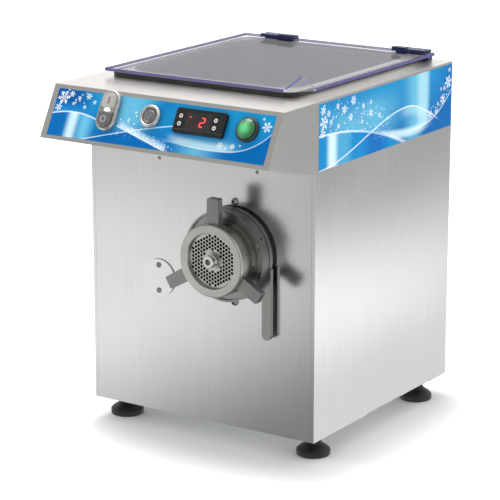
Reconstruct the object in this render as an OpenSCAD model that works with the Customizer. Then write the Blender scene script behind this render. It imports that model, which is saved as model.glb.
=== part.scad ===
// Refrigerated electric meat grinder, front outlet, with a chilled feed tray under a clear lid.
// Millimetres, +Z up, front of the machine towards -Y.
// The origin lies on the floor at the centre of the whole outline.

/* [Cabinet] */
// Width over the two side panels
cabinet_w = 350; // [346:1:356]
// Depth from the front panel to the rear panel
cabinet_d = 352; // [350:1:360]
// Height of the sheet-metal body above the feet
cabinet_h = 445; // [442:1:452]
// Sheet thickness of the panels
sheet = 1.5; // [1.2:0.1:1.8]
// Height of the rubber feet
foot_h = 30; // [26:1:34]
// Diameter of a foot's tread
foot_d = 45; // [40:1:50]

/* [Control hood] */
// How far the hood's lower lip stands out from the front panel
hood_reach = 108; // [104:1:112]
// How far the hood's flat top stands out from the front panel
hood_top_reach = 73; // [70:1:76]
// Height of the sloping control panel
slope_h = 65; // [62:1:68]
// Height of the hood's cheeks where they meet the front panel
cheek_h = 94.5; // [92:0.5:97]

/* [Tray and lid] */
// Width of the tray's opening
tray_w = 264; // [258:1:266]
// Depth of the tray's opening, front to back
tray_d = 297; // [290:1:298]
// Corner radius of the tray's opening
tray_r = 35; // [30:1:40]
// Depth of the tray's side walls below the hood's top
tray_wall_h = 49; // [45:1:53]
// Height of the black gasket under the tray's rim
gasket_h = 6; // [5:0.5:7]
// Thickness of the clear lid
lid_t = 4; // [3:0.5:4.5]
// Length of the folded corner's legs
lid_corner = 30; // [24:1:34]
// Angle that the lid's corner is folded up
lid_fold = 60; // [40:5:75]

/* [Mincing head] */
// Distance of the head's axis to the right of the centre
head_x = 54; // [50:1:56]
// Height of the head's axis above the floor
head_z = 267; // [264:1:270]
// Outer diameter of the barrel
barrel_d = 90; // [89:1:91]
// Bore of the barrel, around the auger
bore_d = 72; // [71:0.5:73]
// Diameter of the mincing plate
plate_d = 82; // [81:0.5:82.5]
// Diameter of the holes in the mincing plate
plate_hole_d = 4; // [3:0.5:4.5]
// Outer diameter of the ring nut
nut_d = 96; // [95:1:98]
// Diameter of the clamping flange
flange_d = 120; // [118:1:124]
// Length of the lever below the head's axis
lever_drop = 107; // [100:1:112]

/* [Drive] */
// Outer diameter of the motor
motor_d = 130; // [126:1:132]

/* [Hidden] */
$fn = 64;

eps = 0.01;
gland_reach = 12;
front_y = (hood_reach - cabinet_d - gland_reach) / 2;
rear_y = front_y + cabinet_d;
top_z = foot_h + cabinet_h;
half_w = cabinet_w / 2;
inner_x = half_w - sheet;
cheek_z = top_z - cheek_h;

// Points of the hood's outline in the Y-Z plane, from the back of the top round to the front panel
slope_top = [front_y - hood_top_reach, top_z];
hood_tip = [front_y - hood_reach, top_z - slope_h];
hood_path = [[rear_y, top_z], slope_top, hood_tip, [front_y, cheek_z]];
slope_vec = hood_tip - slope_top;
slope_len = norm(slope_vec);
slope_dir = slope_vec / slope_len;
slope_tilt = atan2(-slope_vec.x, -slope_vec.y);

function unit(v) = v / norm(v);
function left_of(v) = [-v.y, v.x];
// Corner b of the path a, b, c moved sideways by d, keeping both walls parallel
function mitre(a, b, c, d) =
    let (n1 = left_of(unit(b - a)), n2 = left_of(unit(c - b)))
    b + d * (n1 + n2) / (1 + n1 * n2);
function end_shift(from, to, at, d) = at + d * left_of(unit(to - from));
function offset_path(p, d) = [
    for (i = [0 : len(p) - 1])
        i == 0 ? end_shift(p[0], p[1], p[0], d)
        : i == len(p) - 1 ? end_shift(p[i - 1], p[i], p[i], d)
        : mitre(p[i - 1], p[i], p[i + 1], d)
];
function reverse(p) = [for (i = [len(p) - 1 : -1 : 0]) p[i]];
function polar(r, a) = [r * cos(a), r * sin(a)];

// Places children on the control panel: +Z out of the panel, +Y up the slope
module on_slope(x, down) {
    translate([x, slope_top.x + down * slope_dir.x, slope_top.y + down * slope_dir.y])
        rotate([90 - slope_tilt, 0, 0]) children();
}

// Places children on the head's axis: +Z towards the front, measured from the front panel
module on_head(forward = 0) {
    translate([head_x, front_y - forward, head_z]) rotate([90, 0, 0]) children();
}

// A shaft line parallel to the head's axis, with +Z towards the back from y = 0
module on_shaft(z, y) {
    translate([head_x, y, z]) rotate([-90, 0, 0]) children();
}

// Extrudes a Y-Z outline across the machine from x0 to x1
module across(x0, x1) {
    translate([x0, 0, 0]) rotate([90, 0, 90]) linear_extrude(x1 - x0) children();
}

// Box between two opposite corners
module box(a, b) {
    translate(a) cube(b - a);
}

// Upright plate with rounded corners, centred on the origin in X and Y
module rounded_plate(w, d, h, r) {
    translate([-w / 2 + r, -d / 2, 0]) cube([w - 2 * r, d, h]);
    translate([-w / 2, -d / 2 + r, 0]) cube([w, d - 2 * r, h]);
    for (sx = [-1, 1], sy = [-1, 1])
        translate([sx * (w / 2 - r), sy * (d / 2 - r), 0]) cylinder(h = h, r = r);
}

// Slot-shaped plate standing along Y, centred
module stadium(w, length, h) {
    translate([-w / 2, -(length - w) / 2, 0]) cube([w, length - w, h]);
    for (s = [-1, 1]) translate([0, s * (length - w) / 2, 0]) cylinder(h = h, d = w);
}

module ring(r_out, r_in, h) {
    difference() {
        cylinder(h = h, r = r_out);
        translate([0, 0, -1]) cylinder(h = h + 2, r = r_in);
    }
}

// Domed screw head on a shank that reaches depth below the surface
module screw(head_r, head_h, shank_r, depth) {
    rotate_extrude() {
        intersection() {
            translate([0, head_h - head_r * 1.25]) circle(r = head_r * 1.25);
            square([head_r, head_h]);
        }
        translate([0, -depth]) square([shank_r, depth + eps]);
    }
}

// ---------------------------------------------------------------- cabinet

stud_r = 4;
foot_x = half_w - 24.5;
foot_ys = [front_y + 39, front_y + 311];
plate_t = 2;
flange_h = 12;
notch_h = 2.5;
return_w = 5;
// Air slots under the compressor
slot_pitch = 14;
slot_w = 6;

module at_feet() {
    for (x = [-foot_x, foot_x], y = foot_ys) translate([x, y, 0]) children();
}

module base_plate() {
    x = inner_x - 0.1;
    y0 = front_y + sheet + 0.1;
    y1 = rear_y - sheet - 0.1;
    color("silver") difference() {
        box([-x, y0, foot_h], [x, y1, foot_h + flange_h]);
        box(
            [-x + plate_t, y0 + plate_t, foot_h + plate_t],
            [x - plate_t, y1 - plate_t, foot_h + flange_h + 1]);
        at_feet() translate([0, 0, foot_h - 1]) cylinder(h = plate_t + 2, r = stud_r + 0.1);
        for (i = [-3 : 3]) translate([compressor_x + i * slot_pitch - slot_w / 2, 90, foot_h - 1])
            cube([slot_w, 60, plate_t + 2]);
    }
}

module feet() {
    neck_r = 8;
    color([0.07, 0.07, 0.08]) at_feet() difference() {
        rotate_extrude() polygon([
            [0, 0], [foot_d / 2 - 1, 0], [foot_d / 2, 1.5], [foot_d / 2, 7], [foot_d / 2 - 3, 10],
            [neck_r + 4, 15], [neck_r + 1, 20], [neck_r + 4, foot_h - 3], [neck_r + 4, foot_h], [0, foot_h]
        ]);
        translate([0, 0, foot_h - 18]) cylinder(h = 20, r = stud_r);
    }
}

module foot_studs() {
    nut_h = 6;
    color("silver") at_feet() {
        translate([0, 0, foot_h - 18]) cylinder(h = 18 + plate_t + nut_h + 3, r = stud_r);
        translate([0, 0, foot_h + plate_t]) cylinder(h = nut_h, r = 7.5, $fn = 6);
    }
}

disc_x = -65.6;
disc_z = 215;
disc_r = 25.25;
disc_screw_gap = 34.6;
sleeve_r = 47.3;

module front_panel() {
    x = half_w - return_w - 0.2;
    color("silver") difference() {
        box([-x, front_y, foot_h], [x, front_y + sheet, cheek_z - 0.1]);
        on_head(-sheet - 1) cylinder(h = sheet + 2, r = sleeve_r + 0.2);
        translate([disc_x, front_y + sheet + 1, disc_z]) rotate([90, 0, 0]) cylinder(h = sheet + 2, r = 12);
        for (s = [-1, 1]) {
            translate([disc_x, front_y - 1, disc_z + s * disc_screw_gap / 2]) rotate([-90, 0, 0])
                cylinder(h = sheet + 2, r = 2.1);
            translate([head_x, front_y - 1, head_z + s * collar_screw_r]) rotate([-90, 0, 0])
                cylinder(h = sheet + 2, r = 3.1);
        }
        for (x = lip_screw_xs) translate([x, front_y - 1, cheek_z - lip_screw_drop]) rotate([-90, 0, 0])
            cylinder(h = sheet + 2, r = 1.6);
    }
}

// Sheet of the hood, bent over the top, down the slope and back along the underside
module hood_band(x) {
    across(-x, x) polygon(concat(hood_path, reverse(offset_path(hood_path, sheet))));
}

module side_outline() {
    polygon(concat(hood_path, [[front_y, foot_h], [rear_y, foot_h]]));
}

// Right-hand side panel with its cheek, its front return and the shallow step in its lower edge
module side_panel() {
    difference() {
        union() {
            across(inner_x, half_w) side_outline();
            box([half_w - return_w, front_y, foot_h], [half_w, front_y + sheet, cheek_z - 0.1]);
        }
        hood_band(half_w + 1);
        box([inner_x - 1, front_y + 134, foot_h - 1], [half_w + 1, front_y + 308, foot_h + notch_h]);
    }
}

module left_side_panel() {
    color("silver") mirror([1, 0, 0]) side_panel();
}

module right_side_panel() {
    color("silver") side_panel();
}

condenser_x = -95;
condenser_z = 275;
louvre_pitch = 12;
louvre_w = 6;
motor_vent_z = 123;
gland_x = 130;
gland_z = 80;
rear_screws = [for (x = [-160, 160], z = [60, 250, 450]) [x, z]];
lip_screw_xs = [-64, 88];
lip_screw_drop = 4;

// Air slots through the rear panel, centred on x, z: side to each side, rows above and below
module louvres(x, z, side, rows) {
    for (i = [-rows : rows]) box(
        [x - side, rear_y - sheet - 1, z + i * louvre_pitch - louvre_w / 2],
        [x + side, rear_y + 1, z + i * louvre_pitch + louvre_w / 2]);
}

module rear_panel() {
    color("silver") difference() {
        box([-inner_x + 0.1, rear_y - sheet, foot_h], [inner_x - 0.1, rear_y, top_z - sheet - 0.1]);
        louvres(condenser_x, condenser_z, 60, 5);
        louvres(head_x, motor_vent_z, 50, 3);
        translate([gland_x, rear_y - sheet - 1, gland_z]) rotate([-90, 0, 0])
            cylinder(h = sheet + 2, r = 8.1);
        for (p = rear_screws) translate([p.x, rear_y - sheet - 1, p.y]) rotate([-90, 0, 0])
            cylinder(h = sheet + 2, r = 2.1);
    }
}

module cable_gland() {
    color([0.12, 0.12, 0.13]) translate([gland_x, rear_y, gland_z]) rotate([-90, 0, 0]) difference() {
        union() {
            cylinder(h = 4, r = 12, $fn = 6);
            translate([0, 0, -10]) cylinder(h = 12, r = 8);
            translate([0, 0, -6.5]) cylinder(h = 5, r = 12, $fn = 6);
            cylinder(h = gland_reach, r = 8.5);
        }
        translate([0, 0, -11]) cylinder(h = gland_reach + 12, r = 4.5);
    }
}

// Controls: x from the centre and distance down the slope
control_down = 27.5;
double_x = -78;
round_x = -13.5;
controller_x = 62.5;
power_x = 131;
hood_cut = 3;
tray_x = -6;
tray_y = (front_y + 25 + rear_y - 30) / 2;

module tray_prism(grow, z0, z1) {
    translate([tray_x, tray_y, z0])
        rounded_plate(tray_w + 2 * grow, tray_d + 2 * grow, z1 - z0, tray_r + grow);
}

module control_cuts(depth) {
    for (x = [double_x, round_x, power_x]) on_slope(x, control_down)
        translate([0, 0, -depth]) cylinder(h = 2 * depth, r = 11.3);
    on_slope(controller_x, control_down) translate([-35.5, -14.5, -depth]) cube([71, 29, 2 * depth]);
}

module hood() {
    color("silver") difference() {
        hood_band(half_w);
        tray_prism(hood_cut, top_z - sheet - 1, top_z + 1);
        control_cuts(6);
    }
}

film_t = 0.3;

module panel_film() {
    color([0.1, 0.5, 0.82]) difference() {
        on_slope(0, slope_len / 2) translate([-166, -31.6, 0]) cube([332, 63.2, film_t]);
        control_cuts(4);
    }
}

module side_films() {
    color([0.1, 0.5, 0.82]) for (s = [0, 1]) mirror([s, 0, 0])
        box([half_w, front_y + 7.5, cheek_z + 6], [half_w + film_t, rear_y - 1, top_z - 3.3]);
}

module cover_disc() {
    color("silver") translate([disc_x, front_y, disc_z]) rotate([90, 0, 0]) difference() {
        cylinder(h = 2, r = disc_r);
        for (s = [-1, 1]) translate([0, s * disc_screw_gap / 2, -1]) cylinder(h = 4, r = 2.1);
    }
}

collar_screw_r = 67;

module cabinet_screws() {
    color("silver") {
        for (s = [-1, 1]) {
            translate([disc_x, front_y - 2, disc_z + s * disc_screw_gap / 2]) rotate([90, 0, 0])
                screw(3.8, 2, 2, 7);
            translate([head_x, front_y, head_z + s * collar_screw_r]) rotate([90, 0, 0])
                screw(4.8, 4.4, 3, 6);
        }
        for (p = rear_screws) translate([p.x, rear_y, p.y]) rotate([-90, 0, 0]) screw(4, 2.4, 2, 5);
        for (x = lip_screw_xs) translate([x, front_y, cheek_z - lip_screw_drop]) rotate([90, 0, 0])
            screw(2.4, 1.4, 1.5, 5);
    }
}

// ---------------------------------------------------------------- tray and lid

side_rim = 11;
front_rim = 19;
back_rim = 13;
rim_r = 18;
rim_z = top_z + gasket_h;
floor_z = top_z - tray_wall_h;
tray_t = 1.2;
throat_r = 32;
throat_y = front_y + 58;
throat_z = floor_z - 26;
sleeve_top_z = head_z + 50;

module hopper(grow) {
    hull() {
        translate([tray_x, tray_y, floor_z]) linear_extrude(0.02)
            for (sx = [-1, 1], sy = [-1, 1])
                translate([sx * (tray_w / 2 - tray_r), sy * (tray_d / 2 - tray_r)])
                    circle(r = tray_r + grow, $fn = 32);
        translate([head_x, throat_y, throat_z]) cylinder(h = 0.02, r = throat_r + grow, $fn = 32);
    }
}

// The outline of the gasket, or of the tray's rim set in from it
module rim_prism(inset, z0, z1) {
    w = tray_w + 2 * side_rim - 2 * inset;
    d = tray_d + front_rim + back_rim - 2 * inset;
    translate([tray_x, tray_y - (front_rim - back_rim) / 2, z0]) rounded_plate(w, d, z1 - z0, rim_r - inset);
}

module tray() {
    color([0.8, 0.8, 0.8]) difference() {
        union() {
            rim_prism(1, rim_z, rim_z + tray_t);
            tray_prism(tray_t, floor_z, rim_z + 0.5);
            hopper(tray_t);
            translate([head_x, throat_y, sleeve_top_z])
                cylinder(h = throat_z - sleeve_top_z + 1, r = throat_r + tray_t);
        }
        tray_prism(0, floor_z + 0.01, rim_z + 5);
        translate([0, 0, 0.05]) hopper(0);
        translate([head_x, throat_y, sleeve_top_z - 1])
            cylinder(h = throat_z - sleeve_top_z + 3, r = throat_r);
    }
}

module tray_gasket() {
    color([0.1, 0.1, 0.1]) difference() {
        rim_prism(0, top_z, rim_z);
        tray_prism(tray_t + 0.1, top_z - 1, rim_z + 1);
    }
}

lid_z = rim_z + tray_t + 0.6;
lid_left = -151;
lid_right = 156;
lid_front = front_y + 1;
lid_back = rear_y - 16;
hinge_y = rear_y - 9.5;
hinge_z = lid_z + 2;
knuckle_r = 5;
pin_r = 1.5;
hinge_len = 51;
hinge_x = 107;
hinge_shift = 12.5;

module lid() {
    c = lid_corner;
    leg = c / sqrt(2);
    color([0.8, 0.85, 0.95, 0.35]) {
        translate([0, 0, lid_z]) linear_extrude(lid_t) polygon([
            [lid_left, lid_front], [lid_right - c, lid_front], [lid_right, lid_front + c],
            [lid_right, lid_back], [lid_left, lid_back]
        ]);
        translate([lid_right - c / 2, lid_front + c / 2, lid_z + lid_t / 2]) rotate([0, 0, 45]) {
            rotate([-lid_fold, 0, 0]) translate([0, -leg, -lid_t / 2]) linear_extrude(lid_t)
                polygon([[-leg, leg], [0, 0], [leg, leg]]);
            translate([-leg + 2, 0, 0]) rotate([0, 90, 0]) cylinder(h = 2 * leg - 4, r = lid_t / 2);
        }
    }
}

// Children once for each hinge, on its axis, with +X towards the outer end
module at_hinges() {
    for (s = [0, 1]) translate([hinge_shift, hinge_y, hinge_z])
        mirror([1 - s, 0, 0]) translate([hinge_x, 0, 0]) children();
}

module knuckle(x0, x1) {
    translate([x0, 0, 0]) rotate([0, 90, 0]) cylinder(h = x1 - x0, r = knuckle_r);
}

module hinge_bases() {
    h = hinge_len / 2;
    foot_top = top_z + 4;
    color([0.07, 0.08, 0.2]) at_hinges() difference() {
        union() {
            for (e = [[-h, -11], [11, h]]) {
                knuckle(e[0], e[1]);
                box([e[0], -knuckle_r, top_z - hinge_z], [e[1], knuckle_r, 0]);
            }
            box([-h, -knuckle_r, top_z - hinge_z], [h, knuckle_r + 2, foot_top - hinge_z]);
        }
        translate([-h - 1, 0, 0]) rotate([0, 90, 0]) cylinder(h = 2 * h + 2, r = pin_r);
    }
}

module hinge_leaves() {
    h = hinge_len / 2;
    clip_y = lid_back - hinge_y;
    color([0.07, 0.08, 0.2]) at_hinges() difference() {
        union() {
            knuckle(-10.7, 10.7);
            box([-10.7, clip_y - 1, lid_z + lid_t - hinge_z], [10.7, 0, knuckle_r]);
            box([-h, clip_y - 10, lid_z + lid_t - hinge_z], [h, clip_y, lid_z + lid_t - hinge_z + 3]);
            box([-h, clip_y - 10, lid_z + lid_t - hinge_z], [-4, clip_y, lid_z + lid_t - hinge_z + 4.5]);
        }
        translate([-h, 0, 0]) rotate([0, 90, 0]) cylinder(h = 2 * h, r = pin_r + 0.08);
    }
}

module hinge_pins() {
    h = hinge_len / 2;
    color([0.4, 0.4, 0.42]) at_hinges() translate([-h, 0, 0]) rotate([0, 90, 0])
        cylinder(h = hinge_len + 5, r = pin_r);
}

// ---------------------------------------------------------------- controls

button_h = 9;
double_l = 54;
double_w = 29;
button_gap = 0.25;
push_d = 20;
push_off = 13;
round_r = 9.5;

// The pilot lamp's window between the two caps
module lamp_block(h) {
    translate([-5, -2.2, button_h - 3]) cube([10, 4.4, h]);
}

module double_button_bezel() {
    color([0.6, 0.6, 0.62]) on_slope(double_x, control_down) difference() {
        union() {
            translate([0, 0, film_t]) stadium(double_w, double_l, button_h - 2);
            translate([0, 0, -30]) cylinder(h = 30 + film_t + eps, r = 11);
        }
        for (s = [-1, 1]) translate([0, s * push_off, film_t + 1])
            cylinder(h = button_h, d = push_d + 2 * button_gap);
        lamp_block(4);
    }
}

// Cap of the double button, up the slope by off, standing rise above the start cap's height
module push_cap(off, rise) {
    on_slope(double_x, control_down) translate([0, off, film_t + 4.5])
        cylinder(h = button_h + rise - 5, d = push_d);
}

module start_button() {
    color([0.62, 0.62, 0.6]) push_cap(push_off, 0);
}

module stop_button() {
    color([0.3, 0.3, 0.32]) push_cap(-push_off, 2);
}

module indicator_lens() {
    color([0.95, 0.95, 0.9]) on_slope(double_x, control_down) lamp_block(2.2);
}

module round_button_bezel() {
    color([0.75, 0.75, 0.75]) on_slope(round_x, control_down) difference() {
        union() {
            rotate_extrude() polygon([
                [round_r, film_t], [15, film_t], [15, 2.5], [13.5, 5.5], [11, 6.5], [round_r, 6.5]
            ]);
            translate([0, 0, -30]) cylinder(h = 30 + film_t + 1, r = 11);
        }
        translate([0, 0, film_t - 4]) cylinder(h = 12, r = round_r + button_gap);
    }
}

module round_button() {
    color([0.3, 0.3, 0.32]) on_slope(round_x, control_down) translate([0, 0, film_t])
        cylinder(h = 5, r = round_r);
}

dome_r = 13;

module power_button_bezel() {
    color([0.08, 0.08, 0.09]) on_slope(power_x, control_down) difference() {
        union() {
            rotate_extrude() polygon([[dome_r, film_t], [16, film_t], [16, 3], [14.5, 5], [dome_r, 5]]);
            translate([0, 0, -30]) cylinder(h = 30 + film_t + 1, r = 11);
            translate([0, 0, film_t]) cylinder(h = 0.7, r = dome_r + 1);
        }
        translate([0, 0, film_t + 0.6]) cylinder(h = 12, r = dome_r + button_gap);
        translate([0, 0, -5]) cylinder(h = 12, r = 8.2);
    }
}

module power_button() {
    color([0.1, 0.7, 0.35]) on_slope(power_x, control_down) rotate_extrude() {
        intersection() {
            translate([0, 10.6 - 22]) circle(r = 22);
            translate([0, 4.5]) square([dome_r, 7]);
        }
        translate([0, -1]) square([8, 6]);
    }
}

face_w = 74.3;
face_h = 32;
face_t = 5;
key_r = 3;
window_w = 37.5;
window_h = 17.6;
window_x = -1.8;
key_spots = [[-28.8, 5.5], [-28.8, -4.6], [23.4, 4.8], [23.4, -5]];

module at_controller() {
    on_slope(controller_x, control_down) children();
}

module window_block(h) {
    translate([window_x - window_w / 2, -window_h / 2, film_t + face_t - 1.2]) cube([window_w, window_h, h]);
}

module controller_body() {
    color([0.05, 0.05, 0.06]) at_controller() difference() {
        union() {
            translate([0, 0, film_t]) rounded_plate(face_w, face_h, face_t, 3);
            translate([-35, -14, -52]) cube([70, 28, 52 + film_t + eps]);
        }
        window_block(3);
        for (p = key_spots) translate([p.x, p.y, film_t + face_t - 3])
            cylinder(h = 4, r = key_r + button_gap);
    }
}

module display_window() {
    color([0.15, 0.02, 0.02]) at_controller() window_block(1);
}

module key(i) {
    color([0.1, 0.1, 0.11]) at_controller()
        translate([key_spots[i].x, key_spots[i].y, film_t + face_t - 1.6]) cylinder(h = 2.2, r = key_r);
}

// ---------------------------------------------------------------- mincing head

hub_r = 48;
collar_h = 5;
lever_t = 5.6;
lever_gap = 0.2;
flange_z = 11;
flange_front = 27;
recess_z = 24;
barrel_r = barrel_d / 2;
barrel_fit = 0.3;
barrel_back = -112;
barrel_front = 49;
journal_r = 17;
plate_z = 42;
plate_t_h = 9;
nut_face = 56;
neck_back = -100;
sleeve_back = -108;

module head_collar() {
    color([0.7, 0.7, 0.7]) on_head(0) {
        ring(56, barrel_r + barrel_fit, collar_h);
        translate([0, 0, collar_h - eps]) ring(hub_r, barrel_r + barrel_fit, flange_z - collar_h + eps);
    }
}

module head_sleeve() {
    color([0.7, 0.7, 0.7]) difference() {
        union() {
            on_head(sleeve_back) cylinder(h = -sleeve_back, r = sleeve_r);
            translate([head_x, throat_y, head_z]) cylinder(h = sleeve_top_z - head_z, r = throat_r + tray_t);
        }
        on_head(sleeve_back - 1) cylinder(h = 2 - sleeve_back, r = barrel_r + barrel_fit);
        translate([head_x, throat_y, head_z]) cylinder(h = 60, r = throat_r);
    }
}

module locking_lever() {
    w = 13.5;
    x = 55;
    ring_r = flange_d / 2 + 1;
    color([0.55, 0.55, 0.56]) on_head(collar_h + lever_gap) difference() {
        union() {
            cylinder(h = lever_t, r = ring_r);
            translate([x - w / 2, -lever_drop + w / 2, 0]) cube([w, lever_drop - w / 2 - 12, lever_t]);
            translate([x, -lever_drop + w / 2, 0]) cylinder(h = lever_t, d = w);
        }
        translate([0, 0, -1]) cylinder(h = lever_t + 2, r = hub_r + 0.06);
    }
}

flange_screw_r = 53.5;
flange_screw_angles = [22, -12, 202, 168];

module clamp_flange() {
    r = flange_d / 2;
    color([0.35, 0.35, 0.36]) on_head(flange_z) difference() {
        cylinder(h = flange_front - flange_z, r = r);
        translate([0, 0, -1]) cylinder(h = 20, r = barrel_r + barrel_fit);
        translate([0, 0, recess_z - flange_z]) cylinder(h = 10, r = r - 2.5);
        for (a = flange_screw_angles) translate(polar(flange_screw_r, a)) translate([0, 0, -1])
            cylinder(h = 20, r = 2.6);
        rotate([0, 0, 29]) translate([r - 5, 0, 8]) rotate([0, 90, 0]) cylinder(h = 6, r = 1.6);
    }
}

module flange_screws() {
    color([0.75, 0.75, 0.75]) on_head(recess_z) for (a = flange_screw_angles)
        translate(polar(flange_screw_r, a)) screw(3.6, 2.2, 2.5, recess_z - flange_z);
}

module barrel() {
    stop_r = 47.4;
    color([0.72, 0.72, 0.72]) difference() {
        on_head(0) rotate_extrude() polygon([
            [journal_r + 0.06, barrel_back], [barrel_r, barrel_back], [barrel_r, recess_z + 0.2],
            [stop_r, recess_z + 0.2], [stop_r, flange_front - 0.3], [barrel_r - 0.6, flange_front - 0.3],
            [barrel_r - 0.6, barrel_front], [plate_d / 2 + 0.25, barrel_front], [plate_d / 2 + 0.25, 31.5],
            [bore_d / 2, 31.5], [bore_d / 2, neck_back], [journal_r + 0.06, neck_back]
        ]);
        translate([head_x, throat_y, head_z]) cylinder(h = 60, r = throat_r - 1);
        on_head(plate_z) translate([-3, plate_d / 2 - 2, 0]) cube([6, 4, 10]);
    }
}

flight_r = bore_d / 2 - 0.8;
core_r = 15;
flight_half = 20;
flight_turns = 2.6;
tang_w = 20;
knife_sq = 18;
pin_boss_r = 8;
pin_front = 62;

module auger() {
    arm = [for (a = [-flight_half : 10 : flight_half]) polar(flight_r, a)];
    core = [for (a = [50 : 52 : 310]) polar(core_r, a)];
    len_flight = 31.3 - neck_back - 0.3;
    color([0.7, 0.7, 0.72]) {
        on_head(neck_back + 0.3) linear_extrude(len_flight, twist = -360 * flight_turns, slices = 52)
            polygon(concat(arm, core));
        on_head(barrel_back) cylinder(h = neck_back - barrel_back + 0.3, r = journal_r);
        on_head(barrel_back - 22) translate([-tang_w / 2, -tang_w / 2, 0]) cube([tang_w, tang_w, 22]);
        on_head(31.3) translate([-knife_sq / 2, -knife_sq / 2, 0]) cube([knife_sq, knife_sq, 10.5]);
        on_head(41.8) difference() {
            rotate_extrude() polygon([
                [0, 0], [pin_boss_r, 0], [pin_boss_r, 11.4], [6.4, 12.4], [6.4, 14.6], [pin_boss_r, 15.6],
                [pin_boss_r, pin_front - 42.8], [pin_boss_r - 1, pin_front - 41.8], [0, pin_front - 41.8]
            ]);
            translate([0, 0, pin_front - 41.8 - 12]) cylinder(h = 14, r = 4);
        }
    }
}

module knife() {
    color([0.8, 0.8, 0.8]) on_head(32) difference() {
        union() {
            cylinder(h = 9.8, r = 15);
            for (a = [0 : 90 : 270]) rotate([0, 0, a]) linear_extrude(9.8)
                polygon([[0, -6], [34, -9], [37, -5], [36, 2], [0, 8]]);
        }
        translate([-knife_sq / 2 - 0.1, -knife_sq / 2 - 0.1, -1])
            cube([knife_sq + 0.2, knife_sq + 0.2, 12]);
    }
}

hole_pitch = 4.9;
plate_hub_r = 11;
hole_spots = [
    for (i = [-8 : 8], j = [-8 : 8])
        let (p = [hole_pitch * sqrt(3) / 2 * i, hole_pitch * (j + (i % 2 == 0 ? 0 : 0.5))])
        if (norm(p) > plate_hub_r + 2.4 && norm(p) < 33.7) p
];

module mincing_plate() {
    color([0.75, 0.75, 0.75]) on_head(plate_z) difference() {
        union() {
            cylinder(h = plate_t_h, r = plate_d / 2);
            translate([0, 0, plate_t_h - eps]) cylinder(h = 2.5, r = plate_hub_r);
            translate([-2.8, plate_d / 2 - 2, 0]) cube([5.6, 2 + 0.9, 6]);
        }
        translate([0, 0, -1]) cylinder(h = 20, r = pin_boss_r + 0.3);
        for (p = hole_spots) translate([p.x, p.y, -1]) cylinder(h = 20, d = plate_hole_d, $fn = 18);
    }
}

lug_w = 17;
lug_r = 80.5;

module ring_nut() {
    r = nut_d / 2;
    mouth_r = 36;
    color([0.72, 0.71, 0.69]) on_head(0) difference() {
        union() {
            translate([0, 0, flange_front + 0.4]) cylinder(h = nut_face - flange_front - 2.4, r = r);
            rotate_extrude() polygon([
                [0, nut_face - 2.1], [r, nut_face - 2.1], [r - 0.6, nut_face - 0.6],
                [r - 2, nut_face], [0, nut_face]
            ]);
            for (a = [90, 210, 330]) rotate([0, 0, a]) translate([0, 0, 41]) linear_extrude(10)
                polygon([
                    [r - 8, -lug_w / 2 - 0.8], [lug_r - 1.5, -lug_w / 2], [lug_r, -lug_w / 2 + 1.5],
                    [lug_r, lug_w / 2 - 1.5], [lug_r - 1.5, lug_w / 2], [r - 8, lug_w / 2 + 0.8]
                ]);
        }
        translate([0, 0, flange_front - 1])
            cylinder(h = plate_z + plate_t_h + 0.1 - flange_front + 1, r = barrel_r - 0.2);
        rotate_extrude() polygon([
            [0, nut_face - 7], [mouth_r, nut_face - 7], [mouth_r, nut_face - 1.2],
            [mouth_r + 1.4, nut_face + 1], [0, nut_face + 1]
        ]);
    }
}

// ---------------------------------------------------------------- drive

// Two gear stages: motor pinion to layshaft gear, then layshaft pinion to output gear
output_module = 2.5;
output_teeth = 45;
pinion_teeth = 17;
motor_module = 2;
lay_teeth = 48;
motor_teeth = 18;
lay_z = head_z - output_module * (output_teeth + pinion_teeth) / 2;
motor_z = lay_z - motor_module * (lay_teeth + motor_teeth) / 2;
pressure = 20;
tooth_slack = 0.35;
box_y0 = -12;
box_wall = 8;
pocket_y = -8;
cover_y = 50;
cover_t = 8;
box_half = 68;
box_z0 = motor_z - 38;
box_z1 = head_z + 68;
output_r = 20;
output_rear_r = 12.5;
lay_r = 10;
shaft_end = 56;
output_gear_y = 6;
output_gear_w = 18;
lay_gear_y = 28;
lay_gear_w = 14;
motor_face = cover_y + cover_t;
motor_len = 112;
motor_shaft_r = 9;
rotor_r = 38;

// Involute gear outline; the tooth at angle 0 points along +X
function inv(a) = tan(a) * 180 / PI - a;
function roll_angle(base_r, r) = r > base_r ? acos(base_r / r) : 0;
function flank(r, base_r, half_deg) = half_deg + inv(pressure) - inv(roll_angle(base_r, r));
function gear_points(m, teeth) =
    let (
        pitch_r = m * teeth / 2,
        base_r = pitch_r * cos(pressure),
        root_r = pitch_r - 1.25 * m,
        tip_r = pitch_r + m,
        half_deg = 90 / teeth - tooth_slack / 2 / pitch_r * 180 / PI,
        start_r = max(base_r, root_r + 0.05),
        radii = [for (k = [0 : 4]) start_r + (tip_r - start_r) * k / 4],
        foot_deg = min(flank(start_r, base_r, half_deg), 175 / teeth)
    )
    [
        for (i = [0 : teeth - 1])
            let (a = i * 360 / teeth)
            for (p = concat(
                [polar(root_r, a - foot_deg)],
                [for (r = radii) polar(r, a - flank(r, base_r, half_deg))],
                [for (k = [4 : -1 : 0]) polar(radii[k], a + flank(radii[k], base_r, half_deg))],
                [polar(root_r, a + foot_deg)]
            )) p
    ];

// Gear on a shaft, with the middle of a tooth at turn degrees. A shaft's local Y points down, so a
// tooth at 90 meets a tooth space at -90 in the gear below it.
module gear(m, teeth, w, turn) {
    rotate([0, 0, turn]) linear_extrude(w) polygon(gear_points(m, teeth));
}

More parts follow.
